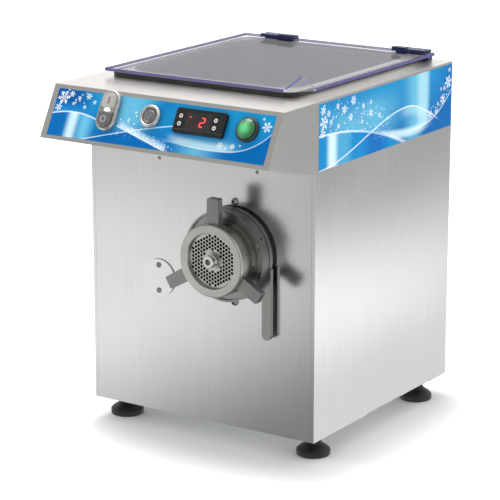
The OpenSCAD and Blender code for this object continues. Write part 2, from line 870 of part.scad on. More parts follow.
module gearbox_housing() {
    inner = box_half - 6;
    color([0.62, 0.63, 0.64]) difference() {
        union() {
            difference() {
                box([head_x - box_half, box_y0, box_z0], [head_x + box_half, cover_y, box_z1]);
                box(
                    [head_x - inner, box_y0 + box_wall, box_z0 + 14],
                    [head_x + inner, cover_y + 1, box_z1 - 6]);
            }
            on_shaft(head_z, box_y0) cylinder(h = 16, r = 38);
            on_shaft(lay_z, box_y0) cylinder(h = 16, r = 27);
            for (s = [-1, 1]) box(
                [head_x + s * (box_half - 10) - 10, box_y0, foot_h + plate_t],
                [head_x + s * (box_half - 10) + 10, cover_y, box_z0 + eps]);
        }
        on_shaft(head_z, box_y0 - 1) cylinder(h = 10, r = 30);
        on_shaft(head_z, pocket_y) cylinder(h = 20, r = 32);
        on_shaft(lay_z, pocket_y) cylinder(h = 20, r = 21);
    }
}

module gearbox_cover() {
    color([0.62, 0.63, 0.64]) difference() {
        union() {
            box([head_x - box_half, cover_y, box_z0], [head_x + box_half, cover_y + cover_t, box_z1]);
            on_shaft(head_z, cover_y - 6) cylinder(h = 7, r = 30);
            on_shaft(lay_z, cover_y - 6) cylinder(h = 7, r = 27);
        }
        on_shaft(head_z, cover_y - 7) cylinder(h = 12, r = 23.5);
        on_shaft(lay_z, cover_y - 7) cylinder(h = 12, r = 21);
        on_shaft(motor_z, cover_y - 1) cylinder(h = cover_t + 2, r = 24);
    }
}

// Bearing positions: shaft height, y, shaft radius, outer radius, width
bearing_list = [
    [head_z, pocket_y, output_r, 32, 12],
    [lay_z, pocket_y, lay_r, 21, 12],
    [head_z, cover_y - 6, output_rear_r, 23.5, 11],
    [lay_z, cover_y - 6, lay_r, 21, 11],
    [motor_z, motor_face, motor_shaft_r, 17, 10],
    [motor_z, motor_face + motor_len - 8, motor_shaft_r, 17, 8]
];

module bearings() {
    color([0.5, 0.5, 0.52]) for (b = bearing_list) on_shaft(b[0], b[1]) ring(b[3], b[2] + 0.03, b[4]);
}

module shaft_seal() {
    color([0.08, 0.08, 0.08]) on_shaft(head_z, box_y0) ring(30, output_r + 0.05, pocket_y - box_y0);
}

module output_shaft() {
    color([0.6, 0.6, 0.62]) difference() {
        union() {
            on_shaft(head_z, -14) cylinder(h = output_gear_y + 14, r = output_r);
            on_shaft(head_z, output_gear_y - eps)
                cylinder(h = shaft_end - output_gear_y - 1, r = output_rear_r);
        }
        on_head(-140) translate([-tang_w / 2 - 0.15, -tang_w / 2 - 0.15, 0])
            cube([tang_w + 0.3, tang_w + 0.3, 40]);
    }
}

module output_gear() {
    color([0.55, 0.55, 0.5]) on_shaft(head_z, output_gear_y) difference() {
        gear(output_module, output_teeth, output_gear_w, 90);
        translate([0, 0, -1]) cylinder(h = output_gear_w + 2, r = output_rear_r);
    }
}

module layshaft() {
    color([0.5, 0.5, 0.52]) {
        on_shaft(lay_z, pocket_y + 1) cylinder(h = shaft_end - pocket_y - 3, r = lay_r);
        on_shaft(lay_z, output_gear_y - 1)
            gear(output_module, pinion_teeth, output_gear_w + 2, -90 + 180 / pinion_teeth);
    }
}

module layshaft_gear() {
    color([0.55, 0.55, 0.5]) on_shaft(lay_z, lay_gear_y) difference() {
        gear(motor_module, lay_teeth, lay_gear_w, 90);
        translate([0, 0, -1]) cylinder(h = lay_gear_w + 2, r = lay_r);
    }
}

module motor_body() {
    r = motor_d / 2;
    color([0.3, 0.32, 0.35]) difference() {
        union() {
            on_shaft(motor_z, motor_face) cylinder(h = 10, r = r + 6);
            on_shaft(motor_z, motor_face) cylinder(h = motor_len, r = r - 3);
            for (i = [0 : 23]) translate([head_x, 0, motor_z]) rotate([0, i * 15, 0])
                box([-1.2, motor_face + 9, r - 4], [1.2, motor_face + motor_len, r]);
        }
        on_shaft(motor_z, motor_face - 1) cylinder(h = 11, r = 17);
        on_shaft(motor_z, motor_face + 10 - eps) cylinder(h = motor_len - 18 + 2 * eps, r = rotor_r + 0.5);
        on_shaft(motor_z, motor_face + motor_len - 8) cylinder(h = 10, r = 17);
    }
}

module motor_rotor() {
    color([0.5, 0.5, 0.52]) {
        on_shaft(motor_z, lay_gear_y - 1)
            gear(motor_module, motor_teeth, lay_gear_w + 2, -90 + 180 / motor_teeth);
        on_shaft(motor_z, lay_gear_y - 1)
            cylinder(h = motor_face + motor_len + 14 - lay_gear_y, r = motor_shaft_r);
        on_shaft(motor_z, motor_face + 14) cylinder(h = motor_len - 26, r = rotor_r);
    }
}

module fan_wheel(hub, tip, w, blades) {
    blade_t = 1.6;
    cylinder(h = w, r = hub);
    for (i = [0 : blades - 1]) rotate([0, 0, i * 360 / blades]) translate([hub - 2, 0, w / 2])
        rotate([35, 0, 0]) translate([0, -blade_t / 2, -w / 2]) cube([tip - hub + 2, blade_t, w]);
}

module motor_fan() {
    color([0.15, 0.15, 0.16]) difference() {
        on_shaft(motor_z, motor_face + motor_len + 3) fan_wheel(14, 54, 10, 8);
        on_shaft(motor_z, motor_face + motor_len) cylinder(h = 20, r = motor_shaft_r);
    }
}

module motor_cowl() {
    r = motor_d / 2;
    color([0.2, 0.2, 0.22]) difference() {
        on_shaft(motor_z, motor_face + motor_len) cylinder(h = 28, r = r);
        on_shaft(motor_z, motor_face + motor_len - 1) cylinder(h = 27.5, r = r - 1.5);
        for (k = [1 : 3]) for (i = [0 : 6 * k - 1]) on_shaft(motor_z, motor_face + motor_len + 20)
            rotate([0, 0, i * 60 / k]) translate([15 * k, 0, 0]) cylinder(h = 12, r = 4);
    }
}

// ---------------------------------------------------------------- cooling and electrics

compressor_x = -95;
compressor_y = 118;
compressor_r = 62;
compressor_z = foot_h + plate_t;
condenser_y = rear_y - sheet - 28;
fan_y = condenser_y - 22;

module compressor() {
    r = compressor_r;
    color([0.08, 0.08, 0.09]) translate([compressor_x, compressor_y, compressor_z]) {
        rotate_extrude() difference() {
            union() {
                translate([0, 38]) square([r, 80]);
                intersection() {
                    translate([0, 118 - 30]) circle(r = r + 6);
                    translate([0, 117]) square([r, 60]);
                }
                translate([0, 14]) square([r - 8, 25]);
            }
            translate([-200, 0]) square([200, 300]);
        }
        difference() {
            translate([0, 0, 10]) rounded_plate(130, 110, 4.5, 14);
            for (sx = [-1, 1], sy = [-1, 1]) translate([sx * 54, sy * 44, 9]) cylinder(h = 8, r = 4);
        }
        for (sx = [-1, 1], sy = [-1, 1]) translate([sx * 54, sy * 44, 0]) ring(8, 4, 10 + eps);
    }
}

module condenser() {
    w = 140;
    h = 140;
    t = 22;
    fins = 18;
    color([0.35, 0.35, 0.36]) translate([condenser_x, condenser_y, condenser_z]) {
        for (i = [0 : fins - 1]) translate([-w / 2 + 7 + i * (w - 15) / (fins - 1), 2.5, -h / 2 + 3])
            cube([1, t - 5, h - 6]);
        for (s = [-1, 1]) translate([s * (w / 2 - 1) - 1, 0.5, -h / 2]) cube([2, t - 1, h]);
        for (k = [0 : 4]) translate([-w / 2 - 3, t / 2, -h / 2 + 16 + k * 27]) rotate([0, 90, 0])
            cylinder(h = w + 6, r = 4);
        difference() {
            translate([-w / 2 - 2, -2, -h / 2 - 2]) cube([w + 4, 3, h + 4]);
            translate([0, 2, 0]) rotate([90, 0, 0]) cylinder(h = 5, r = 62);
        }
        for (a = [45 : 90 : 315]) rotate([0, a, 0]) box([-2.5, -5, 8], [2.5, -1, 66]);
        translate([0, -1.5, 0]) rotate([90, 0, 0]) cylinder(h = 7.5, r = 14);
    }
}

module condenser_fan() {
    color([0.12, 0.12, 0.12]) translate([condenser_x, fan_y, condenser_z]) rotate([-90, 0, 0])
        fan_wheel(16, 58, 12, 6);
}

pipe_r = 3.5;
coil_r = 52.2;
coil_pitch = 12;
coil_turns = 8;
// The coil leaves the top open for the feed throat, from this angle to its mirror image
coil_end = 40;

discharge_y = compressor_y - 40;
discharge_z = 330;
// Filter drier in the liquid line, along Y
drier_x = -150;
drier_z = 300;

// Round tube through the given points, with ball elbows
module pipe(points) {
    for (i = [0 : len(points) - 2]) {
        d = points[i + 1] - points[i];
        translate(points[i]) rotate([0, acos(d.z / norm(d)), atan2(d.y, d.x)])
            cylinder(h = norm(d), r = pipe_r);
    }
    for (i = [1 : 1 : len(points) - 2]) translate(points[i]) sphere(r = pipe_r + 1);
}

module cooling_pipes() {
    color([0.75, 0.45, 0.3]) {
        for (i = [0 : coil_turns - 1]) on_head(-12 - i * coil_pitch) rotate([0, 0, 180 - coil_end])
            rotate_extrude(angle = 180 + 2 * coil_end) translate([coil_r, 0]) circle(r = pipe_r);
        for (i = [0 : coil_turns - 2]) on_head(-12 - (i + 1) * coil_pitch)
            translate(polar(coil_r, i % 2 == 0 ? coil_end : 180 - coil_end)) {
                cylinder(h = coil_pitch, r = pipe_r - 0.5);
                for (z = [0, coil_pitch]) translate([0, 0, z]) sphere(r = pipe_r + 0.8);
            }
        pipe([
            [compressor_x, discharge_y, compressor_z + 145], [compressor_x, discharge_y, discharge_z],
            [-160, discharge_y, discharge_z], [-160, 185, discharge_z]
        ]);
        translate([drier_x, -60, drier_z]) rotate([-90, 0, 0]) cylinder(h = 90, r = 10);
        pipe([[drier_x, 30, drier_z], [drier_x, 60, drier_z]]);
        pipe([[drier_x, -60, drier_z], [drier_x, -90, drier_z], [0, -90, drier_z]]);
    }
}

// Switchgear box, open towards the right-hand side panel, with three contactors inside
ebox_min = [78, 80, 210];
ebox_max = [168, 196, 330];
ebox_wall = 2;

module control_box() {
    w = [ebox_wall, ebox_wall, ebox_wall];
    color([0.75, 0.76, 0.74]) {
        difference() {
            box(ebox_min, ebox_max);
            box(ebox_min + w, ebox_max - w + [ebox_wall + 1, 0, 0]);
        }
        for (i = [0 : 2]) translate([ebox_min.x + ebox_wall - eps, ebox_min.y + 10 + i * 34, ebox_min.z + 15])
            cube([60, 26, 85]);
    }
}

base_plate();
front_panel();
left_side_panel();
right_side_panel();
rear_panel();
hood();
panel_film();
side_films();
feet();
foot_studs();
cover_disc();
cabinet_screws();
cable_gland();
tray();
tray_gasket();
lid();
hinge_bases();
hinge_leaves();
hinge_pins();
double_button_bezel();
start_button();
stop_button();
indicator_lens();
round_button_bezel();
round_button();
power_button_bezel();
power_button();
controller_body();
display_window();
key(0);  // set_key
key(2);  // up_key
key(3);  // down_key
key(1);  // off_key
head_collar();
head_sleeve();
locking_lever();
clamp_flange();
flange_screws();
barrel();
auger();
knife();
mincing_plate();
ring_nut();
gearbox_housing();
gearbox_cover();
bearings();
shaft_seal();
output_shaft();
output_gear();
layshaft();
layshaft_gear();
motor_body();
motor_rotor();
motor_fan();
motor_cowl();
compressor();
condenser();
condenser_fan();
cooling_pipes();
control_box();
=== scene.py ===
"""Looks of a refrigerated electric meat grinder with a printed film, a clear lid and a mincing head."""

import math

import bmesh
import bpy
from mathutils import Matrix, Vector


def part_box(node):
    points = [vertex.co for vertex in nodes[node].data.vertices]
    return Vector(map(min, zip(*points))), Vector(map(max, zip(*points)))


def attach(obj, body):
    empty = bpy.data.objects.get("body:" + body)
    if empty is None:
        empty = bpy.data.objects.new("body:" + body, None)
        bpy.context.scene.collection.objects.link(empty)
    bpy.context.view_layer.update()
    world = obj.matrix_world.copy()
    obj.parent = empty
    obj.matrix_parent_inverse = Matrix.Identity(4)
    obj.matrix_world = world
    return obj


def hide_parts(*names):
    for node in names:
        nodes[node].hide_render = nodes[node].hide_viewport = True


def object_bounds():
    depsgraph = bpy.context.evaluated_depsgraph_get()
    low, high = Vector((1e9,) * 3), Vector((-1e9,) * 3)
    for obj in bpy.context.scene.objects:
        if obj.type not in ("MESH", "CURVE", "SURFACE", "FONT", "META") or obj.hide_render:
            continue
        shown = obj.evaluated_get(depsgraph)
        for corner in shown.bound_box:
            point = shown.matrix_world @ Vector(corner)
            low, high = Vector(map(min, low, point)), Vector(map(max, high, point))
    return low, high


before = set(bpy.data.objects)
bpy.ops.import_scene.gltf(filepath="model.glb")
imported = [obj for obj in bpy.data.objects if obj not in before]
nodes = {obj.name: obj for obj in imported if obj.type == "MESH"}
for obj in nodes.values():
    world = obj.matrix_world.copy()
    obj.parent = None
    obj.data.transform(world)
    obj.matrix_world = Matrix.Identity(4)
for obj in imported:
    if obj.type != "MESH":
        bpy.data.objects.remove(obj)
cad_low, cad_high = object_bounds()


# ---- Cabinet sheets
# The body is folded from 1.5 mm stainless sheet, brushed before it was cut, so that the hairlines run
# up the panels and across the hood. The panels are welded and screwed together over a base plate.


class Wire:
    """One output socket of a node tree, worked on with ordinary arithmetic."""

    def __init__(self, tree, socket):
        self.tree, self.socket = tree, socket

    def node(self, kind, settings=None, sockets=None, out=0):
        """A node of any kind: its settings are set first, then its sockets are set or linked."""
        made = self.tree.nodes.new(kind)
        for name, value in (settings or {}).items():
            setattr(made, name, value)
        for key, value in (sockets or {}).items():
            if isinstance(value, Wire):
                self.tree.links.new(value.socket, made.inputs[key])
            else:
                made.inputs[key].default_value = value
        return Wire(self.tree, made.outputs[out])

    def work(self, operation, first, second=0.0):
        """A Math node on values, or a Vector Math node where either side is a vector or a colour."""
        sides = [first, second]
        wires = [s for s in sides if isinstance(s, Wire)]
        vector = any(isinstance(s, tuple) for s in sides) or any(w.socket.type != "VALUE" for w in wires)
        if vector:
            sides = [s if isinstance(s, (Wire, tuple)) else (s, s, s) for s in sides]
        kind = "ShaderNodeVectorMath" if vector else "ShaderNodeMath"
        return self.node(kind, {"operation": operation}, {0: sides[0], 1: sides[1]})

    def __add__(self, other):
        return self.work("ADD", self, other)

    def __radd__(self, other):
        return self.work("ADD", other, self)

    def __sub__(self, other):
        return self.work("SUBTRACT", self, other)

    def __rsub__(self, other):
        return self.work("SUBTRACT", other, self)

    def __mul__(self, other):
        return self.work("MULTIPLY", self, other)

    def __rmul__(self, other):
        return self.work("MULTIPLY", other, self)

    def __truediv__(self, other):
        return self.work("DIVIDE", self, other)

    def __pow__(self, other):
        return self.work("POWER", self, other)

    def __abs__(self):
        return self.work("ABSOLUTE", self)

    def wave(self):
        """The sine of a value."""
        return self.work("SINE", self)

    def least(self, other):
        return self.work("MINIMUM", self, other)

    def most(self, other):
        return self.work("MAXIMUM", self, other)

    def part(self, axis):
        """The X, Y or Z of a vector, as axis 0, 1 or 2."""
        return self.node("ShaderNodeSeparateXYZ", None, {0: self}, axis)

    def rise(self, low, high):
        """0 up to low, 1 from high on, and a soft step between them."""
        smooth = {"interpolation_type": "SMOOTHSTEP"}
        return self.node("ShaderNodeMapRange", smooth, {0: self, 1: low, 2: high})

    def near(self, centre, half, soft):
        """1 within half of centre, fading to 0 over soft beyond that."""
        return 1 - abs(self - centre).rise(half, half + soft)

    def blend(self, under, over):
        """The colour under where this mask is 0 and over where it is 1."""
        return self.node("ShaderNodeMix", {"data_type": "RGBA"}, {0: self, 6: under, 7: over}, 2)

    def noise(self, scale, detail=2.0):
        return self.node("ShaderNodeTexNoise", None, {"Vector": self, "Scale": scale, "Detail": detail})


def finish(name, fixed):
    """A Principled material with these fixed values, its place in metres, and how to vary it."""
    made = bpy.data.materials.new(name)
    made.use_nodes = True
    tree = made.node_tree
    shader = tree.nodes["Principled BSDF"]
    for key, value in fixed.items():
        shader.inputs[key].default_value = value
    place = Wire(tree, tree.nodes.new("ShaderNodeTexCoord").outputs["Object"])

    def vary(key, wire):
        tree.links.new(wire.socket, shader.inputs[key])

    return made, place, vary


def emboss(vary, height, depth):
    """Feeds the surface's normal with a bump of this height mask, depth metres deep."""
    vary("Normal", height.node("ShaderNodeBump", None, {"Height": height, "Distance": depth}))


def colour(red, green, blue):
    return (red, green, blue, 1.0)


def brushed_steel(name, grain, dark, light, rough):
    """Stainless sheet with hairlines along one axis: grain is 0, 1 or 2 for X, Y or Z."""
    made, place, vary = finish(name, {"Metallic": 1.0})
    fine, long = [1400.0] * 3, [160.0] * 3
    fine[grain], long[grain] = 18.0, 5.0
    hair = (place * tuple(fine)).noise(1.0, 3.0)
    streak = (place * tuple(long)).noise(1.0, 2.0)
    cloud = place.noise(7.0, 3.0)
    rubbed = (place * (1.0, 1.0, 0.6)).noise(38.0, 4.0).rise(0.52, 0.8)
    tone = hair * 0.5 + streak * 0.12 + cloud * 0.38
    vary("Base Color", tone.rise(0.2, 0.8).blend(dark, light))
    vary("Roughness", rough + (hair - 0.5) * 0.08 + (cloud - 0.5) * 0.06 + rubbed * 0.03)
    emboss(vary, hair, 0.000012)
    return made


def dress(material, *names):
    """Puts a material on CAD nodes that keep their shape."""
    for name in names:
        for slot in nodes[name].material_slots:
            slot.material = material


panel_steel = brushed_steel("panel_steel", 2, colour(0.58, 0.585, 0.585), colour(0.66, 0.66, 0.655), 0.21)
hood_steel = brushed_steel("hood_steel", 0, colour(0.58, 0.565, 0.54), colour(0.68, 0.665, 0.64), 0.3)
dress(panel_steel, "front_panel", "left_side_panel", "right_side_panel", "rear_panel")
dress(hood_steel, "hood")


# ---- Base plate
# The floor of the cabinet is a folded pan of galvanised steel that carries the feet and the machinery.
# Its zinc coating has set in a spangle of crystals.

galvanised, place, vary = finish("galvanised_sheet", {"Metallic": 0.9})
crystal = place.node("ShaderNodeTexVoronoi", None, {"Vector": place, "Scale": 110.0}, 1).part(0)
vary("Base Color", crystal.blend(colour(0.42, 0.44, 0.46), colour(0.66, 0.68, 0.7)))
vary("Roughness", 0.3 + crystal * 0.25 + (place.noise(60.0) - 0.5) * 0.1)
emboss(vary, crystal, 0.00004)
dress(galvanised, "base_plate")


# ---- Feet
# Four black rubber feet with a spreading tread, screwed to the base plate on zinc-plated studs.
# Moulding leaves a fine matt skin, and the treads pick up a little pale dust near the floor.

foot_rubber, place, vary = finish("foot_rubber", {"Specular IOR Level": 0.35})
skin = place.noise(1800.0)
dust = 1 - place.part(2).rise(0.0005, 0.011)
dusted = dust * 0.5 * place.noise(160.0, 3.0)
vary("Base Color", dusted.blend(colour(0.011, 0.011, 0.012), colour(0.075, 0.072, 0.068)))
vary("Roughness", 0.5 + (skin - 0.5) * 0.2 + dust * 0.12)
emboss(vary, skin, 0.00006)
dress(foot_rubber, "feet")


def lathe_rings(place, centre, pitch):
    """The distance from an axis along Y through centre (x, z), and fine rings turned about that axis."""
    across = place.part(0) - centre[0]
    up = place.part(2) - centre[1]
    radius = (across * across + up * up) ** 0.5
    groove = {0: radius * pitch, 1: place.part(1) * pitch}
    return radius, place.node("ShaderNodeCombineXYZ", None, groove).noise(1.0, 2.0)


def turned_steel(name, centre, dark, light, rough, pitch=2600.0, depth=0.00002):
    """Steel turned on a lathe about an axis along Y through centre: fine rings, and soft stains."""
    made, place, vary = finish(name, {"Metallic": 1.0})
    rings = lathe_rings(place, centre, pitch)[1]
    cloud = place.noise(28.0, 3.0)
    fleck = place.noise(420.0, 2.0)
    vary("Base Color", (rings * 0.5 + cloud * 0.5).rise(0.3, 0.7).blend(dark, light))
    vary("Roughness", rough + (rings - 0.5) * 0.14 + (cloud - 0.5) * 0.14 + (fleck - 0.5) * 0.05)
    emboss(vary, rings, depth)
    return made


zinc_steel = turned_steel("zinc_plated_steel", (0.0, 0.0), colour(0.45, 0.46, 0.47),
                          colour(0.62, 0.63, 0.64), 0.28)
dress(zinc_steel, "foot_studs")


# ---- Printed film
# A vinyl film with a printed winter scene covers the control panel and both sides of the hood: clear
# blue, pale bands of light, thin white curves and a scatter of snow. It is glossy and slightly wavy.

hood_tip = Vector((0.0, cad_low.y, 0.41))
slope_tilt = math.radians(28.3)
up_slope = Vector((0.0, math.sin(slope_tilt), math.cos(slope_tilt)))
slope_out = Vector((0.0, -math.cos(slope_tilt), math.sin(slope_tilt)))
mm = 0.001
film_edge, film_thick = 5.3, 0.3
panel_film_up, side_film_up = 63.0, 85.0


def panel_mm(place):
    """Across and up on the control panel's film, in millimetres, from its bottom edge at the centre."""
    start = hood_tip + up_slope * film_edge * mm
    offset = place - tuple(start)
    up = offset.part(1) * (up_slope.y / mm) + offset.part(2) * (up_slope.z / mm)
    return place.part(0) / mm, up


def side_mm(place):
    """Back from the front edge and up on a side film, in millimetres."""
    low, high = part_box("side_films")
    return (place.part(1) - low.y) / mm, (place.part(2) - low.z) / mm


ice = colour(0.6, 0.82, 0.88)
snow = colour(0.93, 0.97, 1.0)
sky = colour(0.012, 0.26, 0.54)
deep = colour(0.001, 0.125, 0.4)
navy = colour(0.001, 0.055, 0.27)
pale_sky = colour(0.13, 0.46, 0.66)
vinyl = {"Roughness": 0.22, "IOR": 1.22, "Specular IOR Level": 0.3}


def specks(across, up, pitch, size):
    """Round drops of light scattered on the film, about pitch millimetres apart."""
    spot = across.node("ShaderNodeCombineXYZ", None, {0: across / pitch, 1: up / pitch})
    cell = {"Vector": spot, "Scale": 1.0, "Randomness": 0.9}
    flat = {"voronoi_dimensions": "2D"}
    distance = spot.node("ShaderNodeTexVoronoi", flat, cell)
    luck = spot.node("ShaderNodeTexVoronoi", flat, cell, 1).part(0)
    return (1 - distance.rise(size * 0.5, size)) * luck.rise(0.35, 0.8)


def finish_film(place, vary, art):
    """Prints the art in fine dots, and gives the film its orange-peel gloss."""
    dots = place.noise(2600.0, 1.0)
    vary("Base Color", (1 + (dots - 0.5) * 0.12) * art)
    vary("Roughness", 0.2 + (place.noise(300.0) - 0.5) * 0.1 + dots * 0.04)
    emboss(vary, place.noise(220.0, 2.0), 0.00003)


panel_print, place, vary = finish("panel_print", vinyl)
across, up = panel_mm(place)
left = (1 - across.rise(-140.0, -95.0)) * up.rise(34.0, 50.0)
glow = across.near(-48.0, 6.0, 46.0) * up.rise(12.0, 34.0)
glow = glow + across.near(80.0, 14.0, 46.0) * (1 - up.rise(6.0, 34.0))
art = (up / panel_film_up).rise(-0.2, 1.0).blend(deep, sky)
art = (across.near(5.0, 4.0, 24.0) * up.rise(34.0, 60.0) * 0.5).blend(art, deep)
art = (glow * 0.85).blend(art, pale_sky)
art = left.blend(art, navy)
arch = 34.0 - (across + 133.0) ** 2.0 * 0.0042
under_arch = (1 - (up - arch).rise(-0.6, 0.6)) * (1 - across.rise(-100.0, -70.0))
art = (under_arch * (1 - across.rise(-150.0, -128.0))).blend(art, deep)
art = (under_arch * across.rise(-128.0, -112.0) * (1 - across.rise(-112.0, -92.0))).blend(art, pale_sky)
art = (under_arch * across.near(-131.5, 1.5, 11.0) * 0.85).blend(art, ice)
swing = 34.0 - ((30.0 - across).most(0.0) / 140.0) ** 1.2 * 34.0
sash = 22.7 - (across + 59.0) * 0.296
below = (1 - (up - swing.least(sash)).rise(-1.5, 0.5)) * across.near(-50.0, 60.0, 8.0)
art = below.blend(art, deep)
sash_light = (up - sash).near(1.5, 0.8, 9.0) * (up - sash).rise(-0.5, 0.8)
art = (sash_light * across.near(-20.0, 34.0, 10.0) * 0.75).blend(art, ice)
bow_right = ((across - 75.0).most(0.0) / 91.0) ** 3.5 * 30.0
bow_left = ((75.0 - across).most(0.0) / 75.0) ** 1.5 * 7.0
bow = 9.0 + bow_right + bow_left
art = ((1 - (up - bow).rise(-0.8, 0.4)) * across.rise(60.0, 112.0)).blend(art, deep)
bow_light = (up - bow).near(4.0, 1.0, 8.0) * (up - bow).rise(-0.4, 1.2)
art = (bow_light * across.near(68.0, 30.0, 26.0) * 0.6).blend(art, ice)
line = (up - arch).near(0.0, 0.5, 0.9) * (1 - across.rise(-98.0, -84.0))
line = line.most((up - swing).near(0.0, 0.35, 0.7) * across.near(-38.0, 70.0, 4.0))
line = line.most((up - bow).near(0.0, 0.35, 0.9) * across.rise(-5.0, 60.0) * 0.8)
line = line.most((up - sash).near(0.0, 0.4, 0.8) * across.near(-20.0, 38.0, 6.0))
art = (line * 0.6).blend(art, snow)
hatch = ((across + up * 1.1) * 1.9).wave()
art = (left * hatch.rise(0.0, 0.9) * 0.4).blend(art, sky)
scatter = specks(across, up, 7.0, 0.2) * (left + across.near(-45.0, 14.0, 16.0) * up.near(32.0, 8.0, 18.0))
drift = specks(across, up, 5.0, 0.24) * (up - sash).near(5.0, 3.0, 6.0)
scatter = scatter.most(drift * across.near(-5.0, 26.0, 14.0))
art = (scatter.least(1.0) * 0.75).blend(art, snow)
finish_film(place, vary, art)
dress(panel_print, "panel_film")

side_print, place, vary = finish("side_print", vinyl)
back, up = side_mm(place)
left = (1 - back.rise(20.0, 110.0)) * up.rise(52.0, 76.0)
light = back.near(105.0, 20.0, 110.0) * up.near(46.0, 6.0, 34.0)
art = (up / side_film_up).rise(-0.1, 1.1).blend(deep, sky)
art = (light * 0.85).blend(art, pale_sky)
art = (back.rise(275.0, 343.0) * 0.75).blend(art, deep)
shaft = back.near(262.0, 9.0, 12.0).most(back.near(252.0, 4.0, 46.0) * (1 - back.rise(262.0, 263.0)))
art = shaft.blend(art, pale_sky)
art = (back.near(264.0, 6.0, 16.0) * 0.45).blend(art, ice)
climb = (back / 222.0).rise(0.0, 1.0) * 46.0
fall = back.rise(222.0, 360.0) * 46.0
crest = climb - fall
brow = 43.5 - (back / 211.0) ** 2.0 * 43.5
under_brow = 1 - (up - brow).rise(-0.8, 0.8)
art = under_brow.blend(art, colour(0.004, 0.23, 0.54))
art = (under_brow * back.near(140.0, 8.0, 34.0)).blend(art, colour(0.001, 0.14, 0.46))
art = (under_brow * back.near(32.0, 3.0, 15.0)).blend(art, ice)
art = (under_brow * back.near(58.0, 6.0, 22.0) * 0.5).blend(art, pale_sky)
scoop_right = ((back - 235.0).most(0.0) / 108.0) ** 2.6 * 39.0
scoop_left = ((235.0 - back).most(0.0) / 54.0) ** 2.0 * 4.0
scoop = 12.0 + scoop_right + scoop_left
under_scoop = (1 - (up - scoop).rise(-0.8, 0.6)) * back.rise(205.0, 232.0)
art = (under_scoop * back.rise(225.0, 270.0)).blend(art, deep)
scoop_light = (up - scoop).near(-1.0, 2.0, 7.0) * back.near(215.0, 30.0, 50.0)
art = (scoop_light * (1 - under_brow) * 0.75).blend(art, ice)
crest_light = (crest - up).near(4.0, 1.0, 12.0) * back.near(245.0, 20.0, 30.0)
art = (crest_light * (crest - up).rise(0.0, 1.0) * 0.35).blend(art, ice)
line = (up - brow).near(0.4, 0.5, 1.6) * (0.55 + 0.45 * (1 - back.rise(60.0, 140.0)))
line = line.most((up - brow).near(1.4, 1.2, 2.6) * back.rise(120.0, 200.0) * 0.7)
line = line.most((up - crest).near(0.0, 0.5, 0.9) * (1 - back.rise(290.0, 312.0)))
line = line.most((up - scoop).near(0.0, 0.5, 1.1) * back.rise(170.0, 260.0) * 0.8)
art = (line * 0.62).least(1.0).blend(art, snow)
hatch = ((back + up * 1.6) * 1.5).wave()
fan = (1 - back.rise(60.0, 150.0)) * (back * 0.45 + up).rise(84.0, 92.0)
art = (fan * hatch.rise(-0.2, 0.8) * 0.6).blend(art, deep)
snowfall = back.near(80.0, 60.0, 60.0) * (up + back * 0.22).near(72.0, 14.0, 14.0)
drift = specks(back, up, 6.0, 0.24) * (up - scoop).near(9.0, 5.0, 7.0)
scatter = specks(back, up, 7.0, 0.22) * snowfall + drift * back.rise(270.0, 300.0)
art = (scatter.least(1.0) * 0.7).blend(art, snow)
finish_film(place, vary, art)
dress(side_print, "side_films")


# ---- Snow crystals
# The larger six-armed crystals of the print. Each is a shape of opaque white ink, laid on last, so that
# it stands a little proud of the film.


def moulded(name, shade, dusty, rough, grain=2200.0, depth=0.00004):
    """Moulded plastic, rubber or thick ink: a fine matt skin, uneven and paler where handled."""
    made, place, vary = finish(name, {})
    skin = place.noise(grain, 2.0)
    patch = place.noise(45.0, 3.0).rise(0.42, 0.75)
    vary("Base Color", (patch * 0.6 + (skin - 0.5) * 0.3).blend(shade, dusty))
    vary("Roughness", rough + (skin - 0.5) * 0.14 + patch * 0.06)
    emboss(vary, skin, depth)
    return made


white_ink = moulded("white_ink", colour(0.86, 0.9, 0.94), colour(0.94, 0.96, 0.98), 0.35, 3000.0, 0.00001)


def add_mesh(name, points, faces, material, body):
    """A new piece from points in the machine's own frame, carried by one of its bodies."""
    mesh = bpy.data.meshes.new(name)
    mesh.from_pydata([tuple(p) for p in points], [], faces)
    mesh.materials.append(material)
    made = bpy.data.objects.new(name, mesh)
    bpy.context.scene.collection.objects.link(made)
    tidy = bmesh.new()
    tidy.from_mesh(mesh)
    bmesh.ops.recalc_face_normals(tidy, faces=tidy.faces)
    tidy.to_mesh(mesh)
    tidy.free()
    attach(made, body)
    return made


def ring_faces(first, second, count):
    """Quads between two rings of points, by the numbers of their first points."""
    pairs = [(k, (k + 1) % count) for k in range(count)]
    return [[first + k, first + after, second + after, second + k] for k, after in pairs]


def add_bar(points, faces, lower, upper):
    """Adds a flat bar to a piece's points and faces, by its lower and its upper four corners."""
    start = len(points)
    points += lower + upper
    faces += [[start + 4 + k for k in range(4)], [start + 3 - k for k in range(4)]]
    faces += ring_faces(start, start + 4, 4)


def bar(start, end, width):
    """The four corners of a flat bar between two points of a drawing."""
    along = (end - start).normalized()
    aside = Vector((-along.y, along.x)) * width / 2
    return [start - aside, end - aside, end + aside, start + aside]


def crystal_bars(centre, reach, turn):
    """The bars of one snow crystal: six arms, each with two pairs of side branches."""
    bars = []
    for arm in range(6):
        angle = turn + arm * math.pi / 3
        out = Vector((math.cos(angle), math.sin(angle)))
        bars.append(bar(centre + out * reach * 0.1, centre + out * reach, reach * 0.12))
        for share, length in ((0.45, 0.3), (0.72, 0.24)):
            for side in (-1, 1):
                lean = angle + side * math.pi / 3
                branch = Vector((math.cos(lean), math.sin(lean)))
                foot = centre + out * reach * share
                bars.append(bar(foot, foot + branch * reach * length, reach * 0.09))
    return bars


